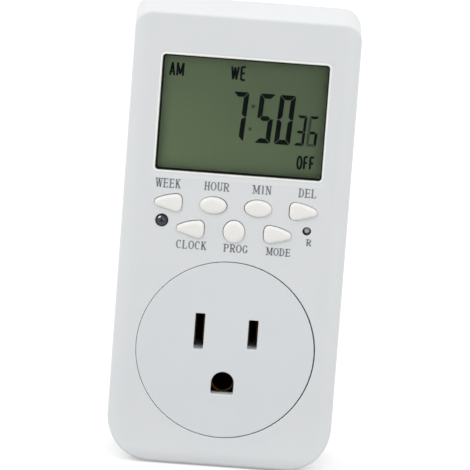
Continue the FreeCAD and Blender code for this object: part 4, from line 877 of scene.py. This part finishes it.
STEM = line(0.14, 0, 0.14, 1, THICK)
HEAD = [line(0.14, 1, 0.5, 1), line(0.14, 0.48, 0.5, 0.48), bow(0.5, 0.74, 0.4, 0.26, -90, 90)]
LETTERS = {
    "A": [line(0, 0, 0.5, 1, THICK), line(0.5, 1, 1, 0, THICK), line(0.18, 0.3, 0.82, 0.3)],
    "C": [bow(0.52, 0.5, 0.48, 0.5, 50, 310)],
    "D": [STEM, line(0.14, 1, 0.4, 1), line(0.14, 0, 0.4, 0), bow(0.4, 0.5, 0.52, 0.5, -90, 90)],
    "E": [STEM, line(0.14, 1, 0.92, 1), line(0.14, 0.52, 0.8, 0.52), line(0.14, 0, 0.95, 0)],
    "F": [STEM, line(0.14, 1, 0.95, 1), line(0.14, 0.5, 0.85, 0.5)],
    "G": [bow(0.5, 0.5, 0.46, 0.5, 50, 320), line(0.86, 0.1, 0.86, 0.44, THICK)],
    "H": [STEM, line(0.86, 0, 0.86, 1, THICK), line(0.14, 0.5, 0.86, 0.5)],
    "I": [line(0.5, 0, 0.5, 1, THICK)],
    "K": [STEM, line(0.14, 0.4, 0.86, 1), line(0.38, 0.6, 0.92, 0, THICK)],
    "L": [STEM, line(0.14, 0, 0.95, 0)],
    "M": [
        line(0.08, 0, 0.08, 1), line(0.08, 1, 0.5, 0.12, THICK),
        line(0.5, 0.12, 0.9, 1), line(0.9, 0, 0.9, 1, THICK),
    ],
    "N": [line(0.12, 0, 0.12, 1), line(0.12, 1, 0.88, 0, THICK), line(0.88, 0, 0.88, 1)],
    "O": [bow(0.5, 0.5, 0.5, 0.5)],
    "P": [STEM, *HEAD],
    "R": [STEM, *HEAD, line(0.5, 0.48, 0.94, 0, THICK)],
    "U": [line(0.14, 0.3, 0.14, 1, THICK), line(0.86, 0.3, 0.86, 1), bow(0.5, 0.3, 0.36, 0.3, 180, 360)],
    "W": [
        line(0.02, 1, 0.25, 0, THICK), line(0.25, 0, 0.5, 0.95),
        line(0.5, 0.95, 0.73, 0, THICK), line(0.73, 0, 0.98, 1),
    ],
}
# Feet of the stems as x and z, half a foot's width, the weight of feet and ticks, and the end ticks of the
# arms as x, low and high
FEET = {
    "D": [(0.0, 0), (0.0, 1)],
    "E": [(0.0, 0), (0.0, 1)],
    "H": [(0.14, 0), (0.14, 1), (0.86, 0), (0.86, 1)],
    "I": [(0.5, 0), (0.5, 1)],
    "K": [(0.14, 0), (0.14, 1), (0.84, 1), (0.9, 0)],
    "L": [(0.0, 0), (0.14, 1)],
    "M": [(0.08, 0), (0.0, 1), (0.9, 0), (0.98, 1)],
    "N": [(0.12, 0), (0.04, 1), (0.88, 1)],
    "P": [(0.14, 0), (0.0, 1)],
    "R": [(0.14, 0), (0.0, 1), (0.94, 0)],
    "U": [(0.14, 1), (0.86, 1)],
    "W": [(0.04, 1), (0.5, 1), (0.96, 1)],
}
FOOT = 0.24
FINE = 0.5
TICKS = {
    "C": [(0.86, 0.7, 0.98)],
    "E": [(0.92, 0.8, 1), (0.8, 0.42, 0.62), (0.95, 0, 0.22)],
    "G": [(0.84, 0.7, 0.98)],
    "L": [(0.95, 0, 0.24)],
}
# Widths of the letters that aren't one wide, and the gap between letters, with feet and without
WIDTHS = {"I": 0.7, "M": 1.2, "W": 1.25}
GAP_BOOK, GAP_PLAIN = 0.05, 0.11


def pen_stroke(path, weight, pen, y, thick):
    """Plate along a path in mm: at each point half the pen's width to either side, square to the way it runs.

    A path that ends where it starts gives a closed ring, any other has a flat cap at either end.
    """
    way = np.gradient(path, axis=0)
    closed = np.allclose(path[0], path[-1])
    if closed:
        way[0] = way[-1] = path[1] - path[-2]
    way /= np.linalg.norm(way, axis=1)[:, None]
    side = np.stack([-way[:, 1], way[:, 0]], 1) * np.reshape(weight * pen / 2, (-1, 1))
    left, right = (level((path, side), sense, y) for sense in (1, -1))
    lift = np.array([0, -thick, 0])
    spots, groups = sleeve(np.stack([left, left + lift, right + lift, right], 1))
    if closed:
        return spots, groups
    start = np.arange(4)
    return spots, groups + [[start, start + len(spots) - 4]]


def word(text, box, pen, y, thick, shares=None, place=None):
    """Strokes of a word in cells across the box (left, right, low, high), as wide as their shares.

    With no shares given it is a book face with feet; otherwise every stroke is as broad as the pen.
    """
    x0, x1, z0, z1 = box
    feet = shares is None
    shares = [WIDTHS.get(letter, 1.0) for letter in text] if feet else shares
    gap = GAP_BOOK if feet else GAP_PLAIN
    pitch = (x1 - x0) / (sum(shares) - gap)
    tall = z1 - z0 - pen * THIN
    parts = []
    for k, letter in enumerate(text):
        left, wide = x0 + sum(shares[:k]) * pitch, (shares[k] - gap) * pitch
        strokes = list(LETTERS[letter])
        reach = np.concatenate([path[:, 0] for path, weight in strokes])
        first, span = (0.0, 1.0) if feet else (reach.min(), np.ptp(reach))
        if feet:
            strokes += [line(x - FOOT, z, x + FOOT, z, FINE) for x, z in FEET.get(letter, [])]
            strokes += [line(x, low, x, high, FINE) for x, low, high in TICKS.get(letter, [])]
        for path, weight in strokes:
            across = left + pen / 2 + (path[:, 0] - first) / span * (wide - pen)
            up = z0 + pen * THIN / 2 + path[:, 1] * tall
            if place:
                across, up = place(across, up)
            parts.append(pen_stroke(np.stack([across, up], 1), weight if feet else THICK, pen, y, thick))
    return parts


# Words on the display: text, box on the face as the camera has it, and widths of the letters
DISPLAY_WORDS = (
    ("AM", (-17.96, -14.46, 60.33, 63.66), (0.9, 1.1)),
    ("WE", (-3.5, 0.18, 60.4, 63.7), (1.14, 0.86)),
    ("OFF", (13.46, 17.75, 40.42, 43.58), (1.08, 0.94, 0.98)),
)
DISPLAY_PEN = 0.48
parts = []
for text, box, shares in DISPLAY_WORDS:
    parts += word(text, box, DISPLAY_PEN, GLASS_Y, CRYSTAL, shares, seen)
piece("display_words", parts, "case", lcd_ink)

# Function words beside the keys: text and box on the face
LABELS = (
    ("WEEK", (-19.24, -13.26, 33.72, 35.95)),
    ("HOUR", (-7.78, -1.81, 33.8, 35.9)),
    ("MIN", (3.67, 8.2, 33.8, 35.9)),
    ("DEL", (14.52, 18.9, 33.75, 35.9)),
    ("CLOCK", (-13.44, -6.13, 19.5, 21.56)),
    ("PROG", (-2.19, 3.69, 19.45, 21.4)),
    ("MODE", (7.93, 13.81, 19.4, 21.3)),
    ("R", (17.18, 18.48, 22.29, 23.93)),
)
LABEL_PEN = 0.36
LABEL_INK = 0.015
for text, box in LABELS:
    parts = word(text, box, LABEL_PEN, FACE, LABEL_INK)
    piece("label_" + text.lower(), parts, "case", label_ink)


# Rear screws: radius of the head and of the shank, height of the head's side and of its crown, and the cross
# recess as half its width, half its length, its depth and how sharp its sides and its ends are
HEAD_RADIUS = 2.5
SHANK_RADIUS = 1.45
SCREW_END = at("case_screws", "Y", -1)
HEAD_SIDE = 1.5
HEAD_CROWN = 0.6
CROSS = (0.32, 1.25, 1.2, 22, 12)


def screw_head(x, z, count=72):
    """Pan head on its shank: the height falls towards the rim as (1 - r^2.4)^0.5.

    The cross is the greater of two bars cut in. Each is a product of two steps 1 / (1 + e^t), a sharp one
    across it and a softer one along it.
    """
    turn = np.linspace(0, 2 * np.pi, count, endpoint=False)
    reach, turn = np.meshgrid(np.linspace(1, 0.02, 26), turn, indexing="ij")
    across, up = HEAD_RADIUS * reach * np.cos(turn), HEAD_RADIUS * reach * np.sin(turn)
    crown = HEAD_SIDE + HEAD_CROWN * np.sqrt(np.clip(1 - reach ** 2.4, 0, 1))
    thin, long, deep, sharp, soft = CROSS
    arms = [
        1 / (1 + np.exp((np.abs(wide) - thin) * sharp)) / (1 + np.exp((np.abs(away) - long) * soft))
        for wide, away in ((across, up), (up, across))
    ]
    rows = np.stack([x + across, WELL_FLOOR + crown - deep * np.maximum(*arms), z + up], -1)
    shank = ((SHANK_RADIUS, SCREW_END), (SHANK_RADIUS, WELL_FLOOR), (HEAD_RADIUS, WELL_FLOOR))
    seat = [level(ring(x, z, radius, count), 0, y) for radius, y in shank]
    return dome(seat + list(rows))


heads = [screw_head(side * x, z) for x, z in CASE_SCREWS for side in (-1, 1)]
piece("cover_screws", heads, "case", screw_steel, replaces=["case_screws"])


# Floor, world and lamps
def ray_kinds(tree):
    """Two shares of one or nought: a ray from the camera, and one off a gloss or through a clear surface."""
    path = add(tree, "LightPath").outputs
    feeds = {0: path["Is Glossy Ray"], 1: path["Is Transmission Ray"]}
    return path["Is Camera Ray"], add(tree, "Math", feeds, operation="MAXIMUM").outputs[0]


# Floor in metres: how far it reaches to both sides and back, and where its front edge lies along Y
FLOOR_REACH = 6.0
FLOOR_NEAR = -0.06


def make_floor():
    """Pale floor under the part: near white to the camera and in gloss, and greyer to all other light."""
    stuff = bpy.data.materials.new("studio_floor")
    stuff.use_nodes = True
    tree = stuff.node_tree
    tree.nodes.clear()
    camera, mirror = ray_kinds(tree)
    sees = add(tree, "Math", {0: camera, 1: mirror}, operation="MAXIMUM").outputs[0]
    matt = add(tree, "BsdfDiffuse", {"Color": linear("#d0d0d0")}).outputs[0]
    pale = add(tree, "BsdfDiffuse", {"Color": linear("#e8e8e8")}).outputs[0]
    glow = add(tree, "Emission", {"Color": (1, 1, 1, 1), "Strength": 0.3}).outputs[0]
    lit = add(tree, "AddShader", {0: pale, 1: glow}).outputs[0]
    both = add(tree, "MixShader", {"Fac": sees, 1: matt, 2: lit}).outputs[0]
    add(tree, "OutputMaterial", {"Surface": both})
    size, near, z = FLOOR_REACH, FLOOR_NEAR, BOTTOM * MM
    mesh = bpy.data.meshes.new("studio_floor")
    corners = [(-size, near, z), (size, near, z), (size, size, z), (-size, size, z)]
    mesh.from_pydata(corners, [], [(0, 1, 2, 3)])
    mesh.materials.append(stuff)
    floor = bpy.data.objects.new("studio_floor", mesh)
    bpy.context.scene.collection.objects.link(floor)


# Tent of light: Y of the direction where the dark place ends and where the tent is full, the light that the
# tent adds and that of the dark place, and Z of the direction and share at the start and end of its fall
TENT_DARK = (-0.98, -0.72)
TENT_LIGHT, DARK_LIGHT = 1.1, 0.04
TENT_FALL = ((-0.5, 0.72), (0.05, 0.95))


def make_world():
    """Soft tent that lights the part, dark straight behind the camera and dimmer from below.

    It is a product of two ramps, on Y and Z of the direction. The camera sees plain white instead, and so
    do gloss and clear surfaces, apart from the dark place.
    """
    world = bpy.data.worlds.new("studio")
    bpy.context.scene.world = world
    world.use_nodes = True
    tree = world.node_tree
    tree.nodes.clear()
    camera, mirror = ray_kinds(tree)
    way = add(tree, "TexCoord").outputs["Object"]
    way = add(tree, "SeparateXYZ", {"Vector": way}).outputs
    feeds = {"Value": way["Y"], "From Min": TENT_DARK[0], "From Max": TENT_DARK[1]}
    side = add(tree, "MapRange", feeds).outputs["Result"]
    feeds = {0: side, 1: TENT_LIGHT, 2: DARK_LIGHT}
    tent = add(tree, "Math", feeds, operation="MULTIPLY_ADD").outputs[0]
    (low, dim), (high, full) = TENT_FALL
    feeds = {"Value": way["Z"], "From Min": low, "From Max": high, "To Min": dim, "To Max": full}
    fall = add(tree, "MapRange", feeds).outputs["Result"]
    power = add(tree, "Math", {0: tent, 1: fall}, operation="MULTIPLY").outputs[0]
    mirror = add(tree, "Math", {0: mirror, 1: side}, operation="MULTIPLY").outputs[0]
    sees = add(tree, "Math", {0: camera, 1: mirror}, operation="MAXIMUM").outputs[0]
    white = add(tree, "Background", {"Color": (1, 1, 1, 1), "Strength": 1.0}).outputs[0]
    soft = add(tree, "Background", {"Color": linear("#fcfcfb"), "Strength": power}).outputs[0]
    both = add(tree, "MixShader", {"Fac": sees, 1: soft, 2: white}).outputs[0]
    add(tree, "OutputWorld", {"Surface": both})


def area_lamp(name, shape, power, pose):
    """Area lamp of a shape and power in watts at a pose."""
    data = bpy.data.lights.new(name, "AREA")
    data.shape = shape
    data.energy = power
    lamp = bpy.data.objects.new(name, data)
    lamp.matrix_world = pose
    bpy.context.scene.collection.objects.link(lamp)
    return lamp


# Square lamps: name, place and size in metres, and power in watts
SQUARE_LAMPS = (
    ("lamp_key", (-0.8, -0.85, 0.85), 0.3, 3.5),
    ("lamp_front", (0.6, -1.2, 0.35), 0.7, 2.8),
)
# Strip lamp: tilt from the front and turn round it in degrees, distance and size in metres, power in watts
STRIP_TILT, STRIP_TURN = 77, 131
STRIP_AWAY = 1.4
STRIP_SIZE = (1.2, 0.42)
STRIP_POWER = 28.0


def make_square_lamps():
    """One small lamp above at the left and a broad soft one in front, both turned to the part."""
    for name, place, size, power in SQUARE_LAMPS:
        pose = (-Vector(place)).to_track_quat("-Z", "Y").to_matrix().to_4x4()
        pose.translation = place
        area_lamp(name, "SQUARE", power, pose).data.size = size


def make_strip_lamp():
    """Strip softbox that lights the indicator alone, with its long side across the way to it."""
    tilt, turn = math.radians(STRIP_TILT), math.radians(STRIP_TURN)
    out = Vector((math.sin(tilt) * math.cos(turn), -math.cos(tilt), math.sin(tilt) * math.sin(turn)))
    along = Vector((-math.sin(turn), 0, math.cos(turn)))
    pose = Matrix((along, out.cross(along), out)).transposed().to_4x4()
    pose.translation = STRIP_AWAY * out
    lamp = area_lamp("lamp_strip", "RECTANGLE", STRIP_POWER, pose)
    lamp.data.size, lamp.data.size_y = STRIP_SIZE
    lit = bpy.data.collections.new("lit_by_strip")
    lit.objects.link(bpy.data.objects["indicator_lamp"])
    lamp.light_linking.receiver_collection = lit


make_floor()
make_world()
make_square_lamps()
make_strip_lamp()
bpy.context.scene.view_settings.view_transform = "Standard"
